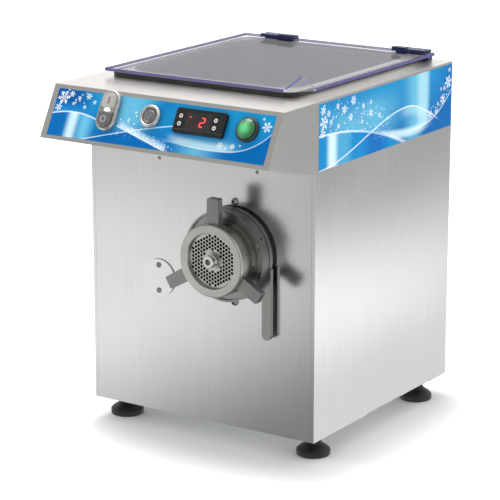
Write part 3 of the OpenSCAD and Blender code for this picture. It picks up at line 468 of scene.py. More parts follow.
def print_crystals(name, flakes, put):
    """All the crystals of one film as one piece: put turns a drawn point and a height into a place."""
    points, faces = [], []
    ink, step = 0.06, 0.004
    for x, y, reach, turn in flakes:
        for number, corners in enumerate(crystal_bars(Vector((x, y)), reach, math.radians(turn))):
            height = ink + step * (number % 5)
            add_bar(points, faces, [put(c, 0.0) for c in corners], [put(c, height) for c in corners])
    add_mesh(name, points, faces, white_ink, "cabinet")


def on_panel(point, height):
    foot = hood_tip + up_slope * film_edge * mm + Vector((point.x, 0, 0)) * mm
    return foot + up_slope * point.y * mm + slope_out * (film_thick + height) * mm


panel_flakes = [
    (-154.5, 51.5, 9.5, 8.0), (-159.0, 37.8, 5.2, 22.0), (-143.0, 57.5, 4.4, 0.0), (-137.0, 45.0, 2.6, 12.0),
    (-130.0, 53.0, 3.2, 20.0), (-116.0, 57.0, 4.6, 5.0), (-118.5, 42.0, 2.8, 17.0), (-105.0, 50.0, 3.0, 9.0),
    (157.0, 47.6, 7.0, 12.0), (97.5, 17.0, 4.8, 4.0), (115.5, 17.5, 3.8, 20.0), (126.0, 20.0, 1.8, 0.0),
    (106.0, 14.0, 1.6, 10.0), (150.0, 57.0, 2.2, 16.0), (-46.0, 33.0, 2.4, 6.0), (-38.0, 44.0, 1.8, 0.0),
]
print_crystals("panel_snow_crystals", panel_flakes, on_panel)

side_flakes = [
    (11.0, 60.0, 9.5, 6.0), (9.0, 76.0, 6.0, 20.0), (8.5, 47.0, 6.0, 12.0), (22.0, 70.0, 4.6, 0.0),
    (28.0, 58.0, 4.0, 14.0), (82.0, 77.5, 6.4, 8.0), (60.0, 69.0, 6.0, 24.0), (44.0, 76.0, 4.0, 10.0),
    (76.0, 57.0, 5.2, 3.0), (46.0, 50.0, 3.6, 18.0), (107.0, 66.0, 4.0, 9.0), (126.0, 54.0, 5.0, 15.0),
    (126.0, 68.0, 3.2, 0.0), (148.0, 47.0, 3.8, 12.0), (104.0, 46.0, 3.4, 21.0), (170.0, 40.0, 2.4, 5.0),
    (333.0, 62.0, 9.0, 10.0), (318.0, 40.0, 7.0, 22.0), (284.0, 25.0, 6.0, 4.0), (301.0, 25.5, 4.2, 16.0),
    (305.0, 36.0, 3.0, 0.0), (322.0, 55.0, 3.6, 12.0), (336.0, 78.0, 3.6, 20.0), (313.0, 55.0, 2.6, 8.0),
]
side_low, side_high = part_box("side_films")
for side, sign in (("left", -1), ("right", 1)):

    def on_side(point, height, sign=sign):
        reach = side_high.x + height * mm
        return Vector((sign * reach, side_low.y + point.x * mm, side_low.z + point.y * mm))

    print_crystals(side + "_snow_crystals", side_flakes, on_side)


# ---- Front cover disc and outside screws
# A thin brushed disc closes a service hole beside the mincing head. The disc, the head and the panels
# are held by stainless screws with round heads and a six-sided socket.

disc_low, disc_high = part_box("cover_disc")
disc_centre = ((disc_low.x + disc_high.x) / 2, (disc_low.z + disc_high.z) / 2)
disc_steel = brushed_steel("disc_steel", 0, colour(0.62, 0.625, 0.63), colour(0.78, 0.78, 0.78), 0.3)
dress(disc_steel, "cover_disc")

screw_steel = turned_steel("screw_steel", (0.0, 0.0), colour(0.26, 0.26, 0.26),
                           colour(0.4, 0.395, 0.385), 0.2)


def screw_head(radius, height, steps=24):
    """Points and faces of a domed head with a six-sided socket, its seat on z = 0."""
    rings = [[(radius * 0.97, 0.0)] * steps, [(radius, height * 0.12)] * steps]
    for k in range(1, 7):
        angle = k * math.pi / 2 / 7
        rings.append([(radius * math.cos(angle * 0.85), height * (0.12 + 0.88 * math.sin(angle)))] * steps)
    socket = radius * 0.5
    hexagon = []
    for k in range(steps):
        turn = (k * 2 * math.pi / steps) % (math.pi / 3) - math.pi / 6
        hexagon.append(socket * math.cos(math.pi / 6) / math.cos(turn))
    rings.append([(h * 1.06, height) for h in hexagon])
    rings.append([(h, height * 0.96) for h in hexagon])
    rings.append([(h, height * 0.4) for h in hexagon])
    rings.append([(h * 0.5, height * 0.34) for h in hexagon])
    points, faces = [], []
    for number, ring in enumerate(rings):
        for k, (r, z) in enumerate(ring):
            angle = k * 2 * math.pi / steps
            points.append(Vector((r * math.cos(angle), r * math.sin(angle), z)))
        if number:
            faces += ring_faces((number - 1) * steps, number * steps, steps)
    faces.append(list(range(steps))[::-1])
    faces.append([(len(rings) - 1) * steps + k for k in range(steps)])
    return points, faces


def soften(made):
    """Smooth shading, except over edges sharper than 38 degrees."""
    made.data.shade_smooth()
    made.data.set_sharp_from_angle(angle=math.radians(38))


def add_screws(name, spots, out, body, replaced):
    """Screw heads at spots (x, y, z, radius, height), facing out along a direction, as one piece."""
    points, faces = [], []
    face_out = Vector(out).to_track_quat("Z", "Y").to_matrix()
    for number, (x, y, z, radius, height) in enumerate(spots):
        head, head_faces = screw_head(radius, height)
        spin = Matrix.Rotation(0.7 * number, 3, "Z")
        start = len(points)
        points += [face_out @ spin @ p + Vector((x, y, z)) for p in head]
        faces += [[start + k for k in face] for face in head_faces]
    made = add_mesh(name, points, faces, screw_steel, body)
    soften(made)
    if replaced:
        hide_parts(replaced)


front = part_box("front_panel")[0].y
head_x, head_z = 0.054, 0.267
disc_thick, disc_screw_r, collar_screw_r, lip_screw_z = 0.002, 0.0173, 0.067, 0.3765
disc_x, disc_z = disc_centre
disc_face = front - disc_thick
screw_spots = [(disc_x, disc_face, disc_z + s * disc_screw_r, 0.0038, 0.002) for s in (-1, 1)]
screw_spots += [(head_x, front, head_z + s * collar_screw_r, 0.0048, 0.0044) for s in (-1, 1)]
screw_spots += [(x, front, lip_screw_z, 0.0024, 0.0014) for x in (-0.064, 0.088)]
add_screws("front_screws", screw_spots, (0, -1, 0), "cabinet", "cabinet_screws")
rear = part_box("rear_panel")[1].y
rear_spots = [(x, rear, z, 0.004, 0.0024) for x in (-0.16, 0.16) for z in (0.06, 0.25, 0.45)]
add_screws("rear_screws", rear_spots, (0, 1, 0), "cabinet", None)


# ---- Cord inlet
# A black moulded nylon gland, held through the rear panel by a hexagonal nut on the inside. The
# machine's lead enters here.

black_nylon = moulded("black_nylon", colour(0.018, 0.018, 0.02), colour(0.05, 0.05, 0.052), 0.42)
dress(black_nylon, "cable_gland")


# ---- Tray and gasket
# The feed tray is one pressing of stainless sheet with a wide lighter rim, drawn down to the throat of
# the mincing head. Its well is painted darker, as painted shade in the recess. It rests on a black rubber
# gasket with a soft, even skin.

tray_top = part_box("tray")[1].z
tray_steel, place, vary = finish("tray_steel", {"Metallic": 1.0})
hair = (place * (18.0, 1400.0, 1400.0)).noise(1.0, 3.0)
cloud = place.noise(16.0, 3.0)
rim = place.part(2).rise(tray_top - 0.007, tray_top - 0.001)
tone = (hair * 0.4 + cloud * 0.6).rise(0.25, 0.75)
# The well below the rim is painted far darker than the rim: painted shade in the recess.
well_painted_shade = tone.blend(colour(0.2, 0.2, 0.195), colour(0.28, 0.28, 0.27))
vary("Base Color", rim.blend(well_painted_shade, colour(0.5, 0.49, 0.475)))
vary("Roughness", 0.34 + (hair - 0.5) * 0.08 + (cloud - 0.5) * 0.12)
emboss(vary, hair, 0.000012)
gasket_rubber = moulded("gasket_rubber", colour(0.02, 0.02, 0.018), colour(0.055, 0.053, 0.048), 0.55)
dress(tray_steel, "tray")
dress(gasket_rubber, "tray_gasket")


# ---- Clear lid
# A 4 mm sheet of clear plastic, sawn to size, with one front corner heated and folded up as a finger
# tab. Its faces have a faint grey tint. Its cut edges have a violet blue tint, painted stronger as a
# painted edge glow on the front- and right-facing edges and round the tab.

lid_clear, place, vary = finish("lid_clear", {"IOR": 1.49})
outward = place.node("ShaderNodeTexCoord", None, None, "Normal")
in_tab = place.part(2).rise(tray_top + 0.0048, tray_top + 0.005)
sheet_edge = 1 - abs(outward.part(2)).rise(0.3, 0.45)
tab_edge = abs(outward.part(0) + outward.part(1)).rise(0.4, 0.7)
cut_edge = sheet_edge * (1 - in_tab) + tab_edge * in_tab
mirror = place.node("ShaderNodeLayerWeight", None, {"Blend": 0.25}, "Fresnel")
hairline = (place * (900.0, 60.0, 900.0)).noise(1.0, 2.0)
# Front- and right-facing cut edges and the tab are painted more opaque violet: a painted edge glow.
painted_edge_glow = cut_edge * (outward.part(0) - outward.part(1)).rise(-0.2, 0.3).most(in_tab)
vary("Base Color", cut_edge.blend(colour(0.5, 0.52, 0.6), colour(0.11, 0.1, 0.33)))
vary("Metallic", 1 - cut_edge)
vary("Alpha", (0.06 + mirror * 0.3 + cut_edge * 0.3 + painted_edge_glow * 0.54).least(0.97))
vary("Roughness", 0.03 + cut_edge * 0.22 + hairline * 0.04)
emboss(vary, hairline, 0.00001)
dress(lid_clear, "lid")


# ---- Lid hinges
# Two hinges of navy moulded plastic: the leaf clips over the lid's back edge and turns with it on a
# bright steel pin, between two knuckles of the base on the hood.

hinge_plastic = moulded("hinge_plastic", colour(0.012, 0.02, 0.085), colour(0.03, 0.045, 0.14), 0.36)
dress(hinge_plastic, "hinge_bases", "hinge_leaves")
pin_steel = turned_steel("pin_steel", (0.0, 0.0), colour(0.28, 0.28, 0.29), colour(0.45, 0.45, 0.46), 0.25)
dress(pin_steel, "hinge_pins")


# ---- Double start and stop button
# A long oval switch with a satin metal bezel, a flat start cap above a raised stop cap, and a white
# pilot lamp between them. Each cap is marked with a plain moulded bar or ring.

slope_length, control_down = 0.0738, 0.0275
control_row = slope_length - control_down


def on_slope(x):
    """The matrix of a control on the sloping panel: X across, Y up the slope, Z out of the panel."""
    origin = hood_tip + Vector((x, 0, 0)) + up_slope * control_row
    turn = Matrix((Vector((1, 0, 0)), up_slope, slope_out)).transposed()
    return Matrix.Translation(origin) @ turn.to_4x4()


def slot_ring(half_width, half_length, z, steps=64):
    """A ring of points round a slot that stands along Y."""
    ring = []
    shift = half_length - half_width
    for k in range(steps):
        angle = 2 * math.pi * (k + 0.5) / steps
        y = half_width * math.sin(angle) + (shift if math.sin(angle) > 0 else -shift)
        ring.append(Vector((half_width * math.cos(angle), y, z)))
    return ring


def loft(name, rings, where, material, body):
    """A skin over rings of equal length, closed at both ends."""
    steps = len(rings[0])
    points = [where @ p for ring in rings for p in ring]
    faces = []
    for number in range(1, len(rings)):
        faces += ring_faces((number - 1) * steps, number * steps, steps)
    faces.append(list(range(steps))[::-1])
    faces.append([(len(rings) - 1) * steps + k for k in range(steps)])
    made = add_mesh(name, points, faces, material, body)
    soften(made)
    return made


def satin_metal(name, dark, light, rough):
    """Satin-plated metal with a fine all-over grain and finger marks."""
    made, place, vary = finish(name, {"Metallic": 0.9})
    grain = place.noise(2400.0, 2.0)
    marks = place.noise(140.0, 4.0)
    vary("Base Color", (grain * 0.4 + marks * 0.6).rise(0.3, 0.7).blend(dark, light))
    vary("Roughness", rough + (grain - 0.5) * 0.12 + (marks - 0.5) * 0.16)
    emboss(vary, grain, 0.00002)
    return made


button_satin = satin_metal("button_satin", colour(0.42, 0.41, 0.39), colour(0.62, 0.6, 0.57), 0.3)
double_at = on_slope(-0.078)
half_w, half_l, top = 14.5 * mm, 27.0 * mm, 7.3 * mm
wall, round_in, round_up = 3.6 * mm, 2.6 * mm, 3.7 * mm
rings = [slot_ring(half_w, half_l, z) for z in (film_thick * mm, wall)]
for k in range(1, 7):
    angle = k * math.pi / 12
    inset = round_in * (1 - math.cos(angle))
    rings.append(slot_ring(half_w - inset, half_l - inset, wall + round_up * math.sin(angle)))
for inset, drop in ((3.4 * mm, 0.2 * mm), (3.7 * mm, 1.2 * mm)):
    rings.append(slot_ring(half_w - inset, half_l - inset, top - drop))
bezel = loft("double_button_bezel_shell", rings, double_at, button_satin, "cabinet")
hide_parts("double_button_bezel")

start_grey = moulded("start_cap_plastic", colour(0.36, 0.355, 0.33), colour(0.46, 0.45, 0.42), 0.35)
stop_dark = moulded("stop_cap_plastic", colour(0.1, 0.1, 0.105), colour(0.17, 0.17, 0.175), 0.35)
mark_dark = moulded("start_mark_plastic", colour(0.1, 0.07, 0.07), colour(0.16, 0.12, 0.12), 0.4)
mark_pale = moulded("stop_mark_plastic", colour(0.42, 0.38, 0.4), colour(0.52, 0.48, 0.5), 0.4)


def half_cap(name, up, tall, material, button):
    """A push cap that fills one end of the slot, flat on its inner side and crowned at its rim."""
    low, middle, inner, reach = 4.8 * mm, 12.6 * mm, 2.9 * mm, 10.6 * mm
    rings = []
    for inset, z in ((0.0, low), (0.0, tall - 1.2 * mm), (0.35 * mm, tall - 0.45 * mm),
                     (1.1 * mm, tall), (2.4 * mm, tall + 0.1 * mm)):
        edge = reach - inset
        ring = []
        for k in range(33):
            angle = math.pi * k / 32
            ring.append(Vector((edge * math.cos(angle), up * (middle + edge * math.sin(angle)), z)))
        ring += [Vector((side * edge, up * (inner + inset), z)) for side in (-1, 1)]
        rings.append(ring)
    made = loft(name, rings, double_at, material, button)
    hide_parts(button)


half_cap("start_cap", 1, 8.3 * mm, start_grey, "start_button")
half_cap("stop_cap", -1, 10.2 * mm, stop_dark, "stop_button")
bar_rings = [slot_ring(0.8 * mm, 4.6 * mm, z, 24) for z in (8.2 * mm, 8.62 * mm)]
bar_rings.append(slot_ring(0.6 * mm, 4.4 * mm, 8.75 * mm, 24))
bar_at = double_at @ Matrix.Translation((0, 12.4 * mm, 0))
loft("start_mark", bar_rings, bar_at, mark_dark, "start_button")


def band_ring(name, where, profile, material, body, steps=64):
    """A turned ring from a closed profile of (radius, height) points."""
    count = len(profile)
    points, faces = [], []
    for k in range(steps):
        angle = 2 * math.pi * k / steps
        points += [where @ Vector((r * math.cos(angle), r * math.sin(angle), z)) for r, z in profile]
        faces += ring_faces(k * count, ((k + 1) % steps) * count, count)
    made = add_mesh(name, points, faces, material, body)
    soften(made)
    return made


def square_band(inner, outer, low, high):
    """A ring's profile with small chamfers on its top edges."""
    nick = 0.12 * mm
    return [(inner, low), (outer, low), (outer, high - nick), (outer - nick, high),
            (inner + nick, high), (inner, high - nick)]


ring_at = double_at @ Matrix.Translation((0, -13 * mm, 0))
stop_band = square_band(3.1 * mm, 4.3 * mm, 10.1 * mm, 10.62 * mm)
band_ring("stop_mark", ring_at, stop_band, mark_pale, "stop_button")

lamp_white, place, vary = finish("pilot_lamp", {"Roughness": 0.2, "Emission Strength": 0.8})
ribs = place.noise(700.0)
vary("Base Color", ribs.blend(colour(0.8, 0.86, 0.82), colour(0.95, 0.97, 0.95)))
vary("Emission Color", ribs.blend(colour(0.7, 0.85, 0.78), colour(0.95, 1.0, 0.97)))
emboss(vary, ribs, 0.00005)
lens_crown = [(0.0, 6.0), (0.0, 8.0), (0.3, 8.6), (0.9, 9.0), (1.6, 9.2)]
lens_rings = [slot_ring((2.4 - i) * mm, (4.0 - i) * mm, z * mm, 32) for i, z in lens_crown]
lens_at = double_at @ Matrix.Rotation(math.pi / 2, 4, "Z")
lens = loft("pilot_lens", lens_rings, lens_at, lamp_white, "cabinet")
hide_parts("indicator_lens")


# ---- Round push button
# A satin grey metal cap with turned grooves, set in a bright plated bezel that is turned with a rounded
# lip and clamps the switch to the panel.


def circle(radius, z):
    """A ring of 64 points about the Z axis."""
    angles = [2 * math.pi * k / 64 for k in range(64)]
    return [Vector((radius * math.cos(a), radius * math.sin(a), z)) for a in angles]


round_at = on_slope(-0.0135)
round_centre = (round_at.translation.x, round_at.translation.z)
plated_steel = turned_steel("plated_bezel", round_centre, colour(0.6, 0.59, 0.57),
                            colour(0.74, 0.73, 0.71), 0.34, depth=0.000006)
lip = [(9.75, 0.3), (15.0, 0.3), (15.0, 1.6)]
for k in range(9):
    angle = math.pi * k / 8
    lip.append((12.6 + 2.4 * math.cos(angle), 3.4 + 3.1 * math.sin(angle)))
lip += [(9.95, 2.6), (9.75, 2.4)]
lip = [(r * mm, z * mm) for r, z in lip]
bezel = band_ring("round_bezel", round_at, lip, plated_steel, "cabinet")
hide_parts("round_button_bezel")

cap_satin = satin_metal("round_cap_metal", colour(0.22, 0.22, 0.23), colour(0.34, 0.34, 0.35), 0.36)
cap_profile = [(9.5, 0.4), (9.5, 4.6), (9.1, 5.1), (8.2, 5.25), (7.6, 4.9), (7.1, 4.9), (6.6, 5.3),
               (5.4, 5.35), (5.1, 5.0), (4.6, 5.0), (4.3, 5.35), (2.0, 5.5), (1.6, 5.2), (1.1, 5.2),
               (0.8, 5.45)]
cap_rings = [circle(r * mm, z * mm) for r, z in cap_profile]
cap = loft("round_cap", cap_rings, round_at, cap_satin, "round_button")
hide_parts("round_button")


# ---- Green power button
# A green plastic dome in a black plastic collar. The dome is moulded with fine rings inside, and a lamp
# behind it lights its middle most.

dress(black_nylon, "power_button_bezel")
power_at = on_slope(0.131)
lit_dome = {"Coat Weight": 0.6, "Coat Roughness": 0.06, "Emission Strength": 0.16}
dome_green, place, vary = finish("green_lens", lit_dome)
offset = place - tuple(power_at.translation)
reach = (offset.part(0) ** 2.0 + (offset.part(1) * up_slope.y + offset.part(2) * up_slope.z) ** 2.0) ** 0.5
rings_in = (reach * 3600.0 + place.noise(90.0) * 6.0).wave()
heart = 1 - reach.rise(0.001, 0.0125)
tone = (rings_in * 0.22 + heart * 0.8 + 0.1).rise(0.0, 1.0)
vary("Base Color", tone.blend(colour(0.006, 0.085, 0.025), colour(0.09, 0.5, 0.18)))
vary("Emission Color", (heart * 0.9).blend(colour(0.0, 0.1, 0.02), colour(0.12, 0.9, 0.32)))
vary("Roughness", 0.16 + rings_in * 0.04)
emboss(vary, rings_in, 0.00012)
dress(dome_green, "power_button")


# ---- Temperature controller
# A black plastic panel instrument: a raised face with four round keys, and a dark red window that
# shows one lit figure of seven bars.

controller_black = moulded("controller_black", colour(0.006, 0.006, 0.007),
                           colour(0.016, 0.016, 0.017), 0.28)
dress(controller_black, "controller_body")
controller_at = on_slope(0.0625)
face_z = 5.3 * mm
window_top, key_top = face_z - 0.2 * mm, face_z + 0.6 * mm

window_glass, place, vary = finish("window_glass", {"Coat Weight": 1.0, "Coat Roughness": 0.03})
film_grain = place.noise(1500.0)
vary("Base Color", film_grain.blend(colour(0.006, 0.004, 0.004), colour(0.02, 0.006, 0.006)))
vary("Roughness", 0.12 + film_grain * 0.08)
dress(window_glass, "display_window")


def flat_bars(name, bars, low, high, material):
    """Flat bars on the controller, given by their four corners, as one piece from low to high."""
    points, faces = [], []
    for corners in bars:
        lower = [controller_at @ Vector((c.x, c.y, low)) for c in corners]
        upper = [controller_at @ Vector((c.x, c.y, high)) for c in corners]
        add_bar(points, faces, lower, upper)
    add_mesh(name, points, faces, material, "cabinet")


def level_bar(left, right, y, width):
    """The corners of a bar across the controller, from sizes in millimetres."""
    return bar(Vector((left * mm, y * mm)), Vector((right * mm, y * mm)), width * mm)


lit_red, place, vary = finish("lit_figure", {"Emission Strength": 3.2, "Roughness": 0.4})
glowing = place.noise(900.0)
vary("Base Color", glowing.blend(colour(0.5, 0.02, 0.02), colour(0.75, 0.05, 0.04)))
vary("Emission Color", glowing.blend(colour(0.85, 0.02, 0.025), colour(1.0, 0.06, 0.05)))
dim_red, place, vary = finish("unlit_figure", {"Roughness": 0.35})
vary("Base Color", place.noise(900.0).blend(colour(0.022, 0.003, 0.003), colour(0.04, 0.006, 0.006)))

figure_w, figure_h, figure_bar, figure_lean = 5.6 * mm, 11.4 * mm, 1.1 * mm, 0.14


def seven_bars(centre_x):
    """The seven bars of one figure, each as its four corners."""
    w, h = figure_w / 2, figure_h / 2
    ends = {"top": ((-w, h), (w, h)), "middle": ((-w, 0), (w, 0)), "bottom": ((-w, -h), (w, -h)),
            "upper_left": ((-w, 0), (-w, h)), "upper_right": ((w, 0), (w, h)),
            "lower_left": ((-w, -h), (-w, 0)), "lower_right": ((w, -h), (w, 0))}
    made = {}
    for key, (start, end) in ends.items():
        start, end = Vector(start), Vector(end)
        gap = (end - start).normalized() * figure_bar * 0.55
        corners = bar(start + gap, end - gap, figure_bar)
        made[key] = [Vector((c.x + figure_lean * c.y + centre_x, c.y)) for c in corners]
    return made


shown = seven_bars(4.0 * mm)
lit_names = ("top", "upper_right", "middle", "lower_left", "bottom")
lit_bars = [shown[key] for key in lit_names]
unlit_bars = [shown[key] for key in shown if key not in lit_names]
unlit_bars += [corners for x in (-11.0, -3.5) for corners in seven_bars(x * mm).values()]
lit_top, unlit_top = window_top + 0.1 * mm, window_top + 0.05 * mm
flat_bars("lit_figure", lit_bars, window_top, lit_top, lit_red)
flat_bars("unlit_figures", unlit_bars, window_top, unlit_top, dim_red)
lamp_bars = [level_bar(-15.5, -14.2, 5.6, 1.2)]
flat_bars("controller_lamp", lamp_bars, window_top, lit_top, lit_red)

key_rubber = moulded("key_rubber", colour(0.05, 0.05, 0.052), colour(0.1, 0.1, 0.1), 0.45)
dress(key_rubber, "set_key", "up_key", "down_key", "off_key")
key_paint = moulded("key_paint", colour(0.62, 0.61, 0.58), colour(0.72, 0.71, 0.68), 0.4)
key_spots = {"set_key": (-28.8, 5.5), "off_key": (-28.8, -4.6),
             "up_key": (23.4, 4.8), "down_key": (23.4, -5.0)}
for key, (x, y) in key_spots.items():
    key_at = controller_at @ Matrix.Translation((x * mm, y * mm, 0))
    shape = square_band(1.25 * mm, 2.75 * mm, key_top - 0.05 * mm, key_top + 0.1 * mm)
    band_ring(key + "_print", key_at, shape, key_paint, key, 40)

trim_satin = satin_metal("controller_trim", colour(0.14, 0.14, 0.14), colour(0.24, 0.24, 0.24), 0.3)
trim = [level_bar(-35.5, 35.5, -11.6, 0.5)]
trim += [level_bar(-22.0, 19.0, y, 0.35) for y in (10.4, -9.6)]
trim_low, trim_high = face_z - 0.05 * mm, face_z + 0.12 * mm
flat_bars("controller_lines", trim, trim_low, trim_high, trim_satin)


# ---- Mincing head
# Cast and turned stainless steel: a collar held to the cabinet by two screws, the barrel that slides
# out of it, a clamping flange turned a shade darker, with its own screws in its recessed face, and the
# locking lever that turns behind the flange.

axis = (head_x, head_z)
head_steel = turned_steel("head_steel", axis, colour(0.36, 0.355, 0.34), colour(0.48, 0.47, 0.45), 0.27)
dress(head_steel, "head_collar", "head_sleeve", "barrel")

flange_steel = turned_steel("flange_steel", axis, colour(0.26, 0.26, 0.26),
                            colour(0.36, 0.355, 0.345), 0.34, 1800.0)
dress(flange_steel, "clamp_flange")

flange_reach, flange_screw_r = 0.024, 0.0535
flange_spots = []
for turn in (22, -12, 202, 168):
    angle = math.radians(turn)
    x, z = head_x + flange_screw_r * math.cos(angle), head_z + flange_screw_r * math.sin(angle)
    flange_spots.append((x, front - flange_reach, z, 0.0036, 0.0022))
add_screws("flange_screw_heads", flange_spots, (0, -1, 0), "cabinet", "flange_screws")

lever_steel = brushed_steel("lever_steel", 2, colour(0.27, 0.27, 0.265), colour(0.36, 0.355, 0.345), 0.3)
dress(lever_steel, "locking_lever")


# ---- Auger, knife and plate
# The auger is cast stainless with polished flights, and drives a ground four-armed knife against the
# perforated plate. The plate's face is ground flat in fine rings.

auger_steel = turned_steel("auger_steel", axis, colour(0.52, 0.515, 0.5),
                           colour(0.74, 0.73, 0.71), 0.22, 1500.0)
blade_steel = turned_steel("blade_steel", axis, colour(0.5, 0.5, 0.5), colour(0.68, 0.68, 0.67), 0.26)
plate_steel = turned_steel("plate_steel", axis, colour(0.42, 0.415, 0.4), colour(0.56, 0.55, 0.53), 0.28)
dress(auger_steel, "auger")
dress(blade_steel, "knife")
dress(plate_steel, "mincing_plate")


# ---- Ring nut
# A cast stainless nut with three flat lugs, screwed onto the barrel to hold the plate in place. Its
# face and rim are turned bright, and its lugs are left blasted and darker.

nut_steel, place, vary = finish("nut_steel", {"Metallic": 1.0})
radius, rings = lathe_rings(place, axis, 2000.0)
cloud = place.noise(28.0, 3.0)
skin = place.noise(900.0, 3.0)
lug = radius.rise(0.0484, 0.0492)
tone = (rings * 0.5 + cloud * 0.5).rise(0.3, 0.7)
turned = tone.blend(colour(0.4, 0.39, 0.37), colour(0.52, 0.51, 0.485))
tone = (skin * 0.5 + cloud * 0.5).rise(0.3, 0.7)
blasted = tone.blend(colour(0.22, 0.22, 0.215), colour(0.3, 0.3, 0.29))
vary("Base Color", lug.blend(turned, blasted))
vary("Roughness", 0.27 + lug * 0.1 + (rings - 0.5) * 0.1 + (cloud - 0.5) * 0.1)
emboss(vary, rings * (1 - lug) + skin * lug, 0.00002)
dress(nut_steel, "ring_nut")


# ---- Drive
# Inside: a cast aluminium gearbox with hardened gears on two shafts that turn in steel bearings, and
# a painted motor with a nylon fan under its cowl.


def cast_metal(name, dark, light, rough, metal):
    """Sand-cast metal: a coarse skin with small pits, a little darker in the hollows."""
    made, place, vary = finish(name, {"Metallic": metal})
    skin = place.noise(520.0, 4.0)
    pits = place.noise(1500.0, 2.0).rise(0.62, 0.78)
    cloud = place.noise(26.0, 3.0)
    vary("Base Color", (skin * 0.4 + cloud * 0.6 - pits * 0.4).rise(0.2, 0.8).blend(dark, light))
    vary("Roughness", rough + (skin - 0.5) * 0.2 + pits * 0.1)
    emboss(vary, skin - pits * 0.5, 0.00018)
    return made


cast_aluminium = cast_metal("cast_aluminium", colour(0.4, 0.41, 0.42), colour(0.58, 0.59, 0.6), 0.5, 0.9)
gear_steel = turned_steel("gear_steel", axis, colour(0.3, 0.29, 0.26), colour(0.46, 0.45, 0.41), 0.3)
bearing_steel = turned_steel("bearing_steel", axis, colour(0.42, 0.42, 0.43), colour(0.6, 0.6, 0.61), 0.2)
motor_paint = cast_metal("motor_paint", colour(0.05, 0.055, 0.065), colour(0.09, 0.1, 0.115), 0.42, 0.0)
cowl_paint = cast_metal("cowl_paint", colour(0.03, 0.03, 0.034), colour(0.055, 0.055, 0.06), 0.45, 0.0)
dress(cast_aluminium, "gearbox_housing", "gearbox_cover")
dress(gear_steel, "output_gear", "layshaft", "layshaft_gear", "motor_rotor", "output_shaft")
dress(bearing_steel, "bearings")
dress(gasket_rubber, "shaft_seal")
dress(motor_paint, "motor_body")
dress(cowl_paint, "motor_cowl")
dress(black_nylon, "motor_fan", "condenser_fan")


# ---- Cooling and switchgear
# Inside: a black painted compressor, a condenser of thin fins with its fan, copper pipes wound round
# the mincing head, and a grey plastic box with the contactors.

compressor_paint = cast_metal("compressor_paint", colour(0.012, 0.012, 0.014),
                              colour(0.03, 0.03, 0.033), 0.3, 0.0)
fin_metal = satin_metal("fin_metal", colour(0.36, 0.37, 0.38), colour(0.52, 0.53, 0.54), 0.35)
dress(compressor_paint, "compressor")
dress(fin_metal, "condenser")

copper, place, vary = finish("copper_pipe", {"Metallic": 1.0})
tarnish = place.noise(55.0, 4.0)
vary("Base Color", tarnish.rise(0.35, 0.7).blend(colour(0.72, 0.36, 0.22), colour(0.36, 0.17, 0.1)))
vary("Roughness", 0.22 + tarnish * 0.25)
emboss(vary, place.noise(700.0), 0.00003)
dress(copper, "cooling_pipes")

box_plastic = moulded("box_plastic", colour(0.5, 0.51, 0.49), colour(0.6, 0.61, 0.59), 0.45)
dress(box_plastic, "control_box")


# ---- Studio
# A white table, lit and glowing, its glow fading out near the machine as a painted shadow, a soft surround,
# a large lamp above and a small one at the front left. What the steel mirrors below it is a separate
# card: bright beside the cabinet, and in front of it dark in a middle band and bright to both sides.

scene = bpy.context.scene


def stage_plane(name, material, z):
    """A level square of the studio, 60 m across, at height z."""
    half = 30.0
    mesh = bpy.data.meshes.new(name)
    corners = [(-half, -half, z), (half, -half, z), (half, half, z), (-half, half, z)]
    mesh.from_pydata(corners, [], [[0, 1, 2, 3]])
    mesh.materials.append(material)
    made = bpy.data.objects.new(name, mesh)
    scene.collection.objects.link(made)
    return made


matt_white = {"Roughness": 0.9, "Specular IOR Level": 0.1, "Emission Strength": 0.6}
floor_white, place, vary = finish("floor_white", matt_white)
paper = place.noise(140.0, 3.0)
vary("Base Color", paper.blend(colour(0.86, 0.86, 0.86), colour(0.9, 0.9, 0.9)))
past_side = (abs(place.part(0)) - cad_high.x).most(0.0)
past_front = (front - place.part(1)).most(place.part(1) - cad_high.y).most(0.0)
distance_for_painted_shadow = (past_side * past_side + past_front * past_front) ** 0.5
# The table's glow is painted out inside the machine's footprint and fades back in over 16 cm: a painted
# shadow.
vary("Emission Color", distance_for_painted_shadow.rise(0.0, 0.16) * (1.0, 1.0, 1.0))
floor = stage_plane("floor", floor_white, 0.0)
floor.visible_glossy = False

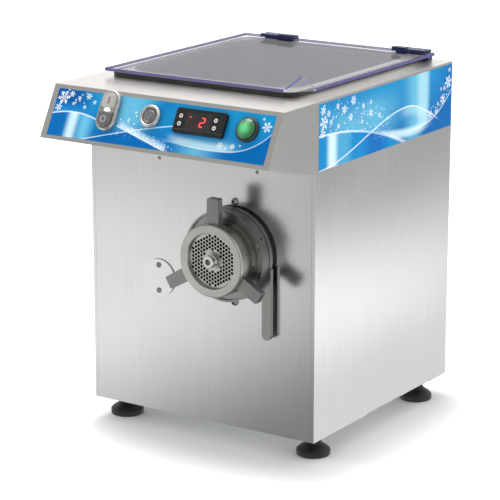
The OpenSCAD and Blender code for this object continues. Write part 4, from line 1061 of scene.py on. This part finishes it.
glowing_card = {"Base Color": colour(0, 0, 0), "Roughness": 1.0, "Emission Strength": 1.0}
card_light, place, vary = finish("mirror_card", glowing_card)
cabinet_side = 0.175
ahead = front - place.part(1)
beside = place.part(0) - cabinet_side
front_zone = ahead.rise(0.0, 0.02)
dark_band = place.part(0).rise(-0.45, 0.1) * (1 - place.part(0).rise(0.2, 0.42))
front_dark = dark_band * 0.95 + ahead.rise(0.45, 1.0) * place.part(0).near(-0.2, 0.2, 0.45) * 0.42
front_level = 1.25 - front_dark - ahead.rise(0.85, 1.35) * 0.5
side_level = 1.0 + beside.near(0.42, 0.06, 0.22) * 0.55 - place.part(1).rise(0.45, 1.2) * 0.5
level = front_zone * front_level + (1 - front_zone) * side_level
vary("Emission Color", level * (1.0, 1.0, 0.99))
card = stage_plane("mirror_card", card_light, -0.002)
card.visible_camera = False
card.visible_diffuse = False
card.visible_shadow = False
card.visible_transmission = False

world = bpy.data.worlds.new("studio")
scene.world = world
world.use_nodes = True
sky_tree = world.node_tree
direction = Wire(sky_tree, sky_tree.nodes.new("ShaderNodeTexCoord").outputs["Generated"])
back_share = direction.part(1).rise(-0.75, 0.45)
strength = 0.45 + back_share * 0.75 + direction.part(2).rise(0.6, 1.0) * 0.35
surround = sky_tree.nodes["Background"]
surround.inputs["Color"].default_value = colour(1.0, 0.99, 0.975)
sky_tree.links.new(strength.socket, surround.inputs["Strength"])


def soft_lamp(name, at, target, size, power, tint, seen):
    """A round lamp of this size and power, aimed at target, and seen in the steel or not."""
    data = bpy.data.lights.new(name, "AREA")
    data.shape, data.size, data.energy, data.color = "DISK", size, power, tint
    made = bpy.data.objects.new(name, data)
    made.visible_glossy = seen
    made.location = at
    made.rotation_euler = (Vector(target) - Vector(at)).to_track_quat("-Z", "Y").to_euler()
    scene.collection.objects.link(made)


soft_lamp("overhead", (-0.5, 0.4, 2.4), (0.0, 0.0, 0.2), 1.6, 34.0, (1.0, 0.98, 0.95), True)
soft_lamp("front_left", (-1.5, -1.5, 1.1), (0.0, -0.1, 0.25), 1.0, 12.0, (1.0, 1.0, 1.0), False)


# ---- Camera
# The view is from the front right and a little above, with a long lens that keeps the cabinet's upright
# edges nearly parallel.

lens = bpy.data.cameras.new("camera")
lens.sensor_width = 36.0
lens.lens = 160.8
lens.clip_start, lens.clip_end = 0.1, 100.0
camera = bpy.data.objects.new("camera", lens)
camera.location = (1.5971, -2.4330, 1.0087)
camera.rotation_euler = (math.radians(90 - 14.919), 0.0, math.radians(33.4))
scene.collection.objects.link(camera)
scene.camera = camera
scene.view_settings.view_transform = "Standard"
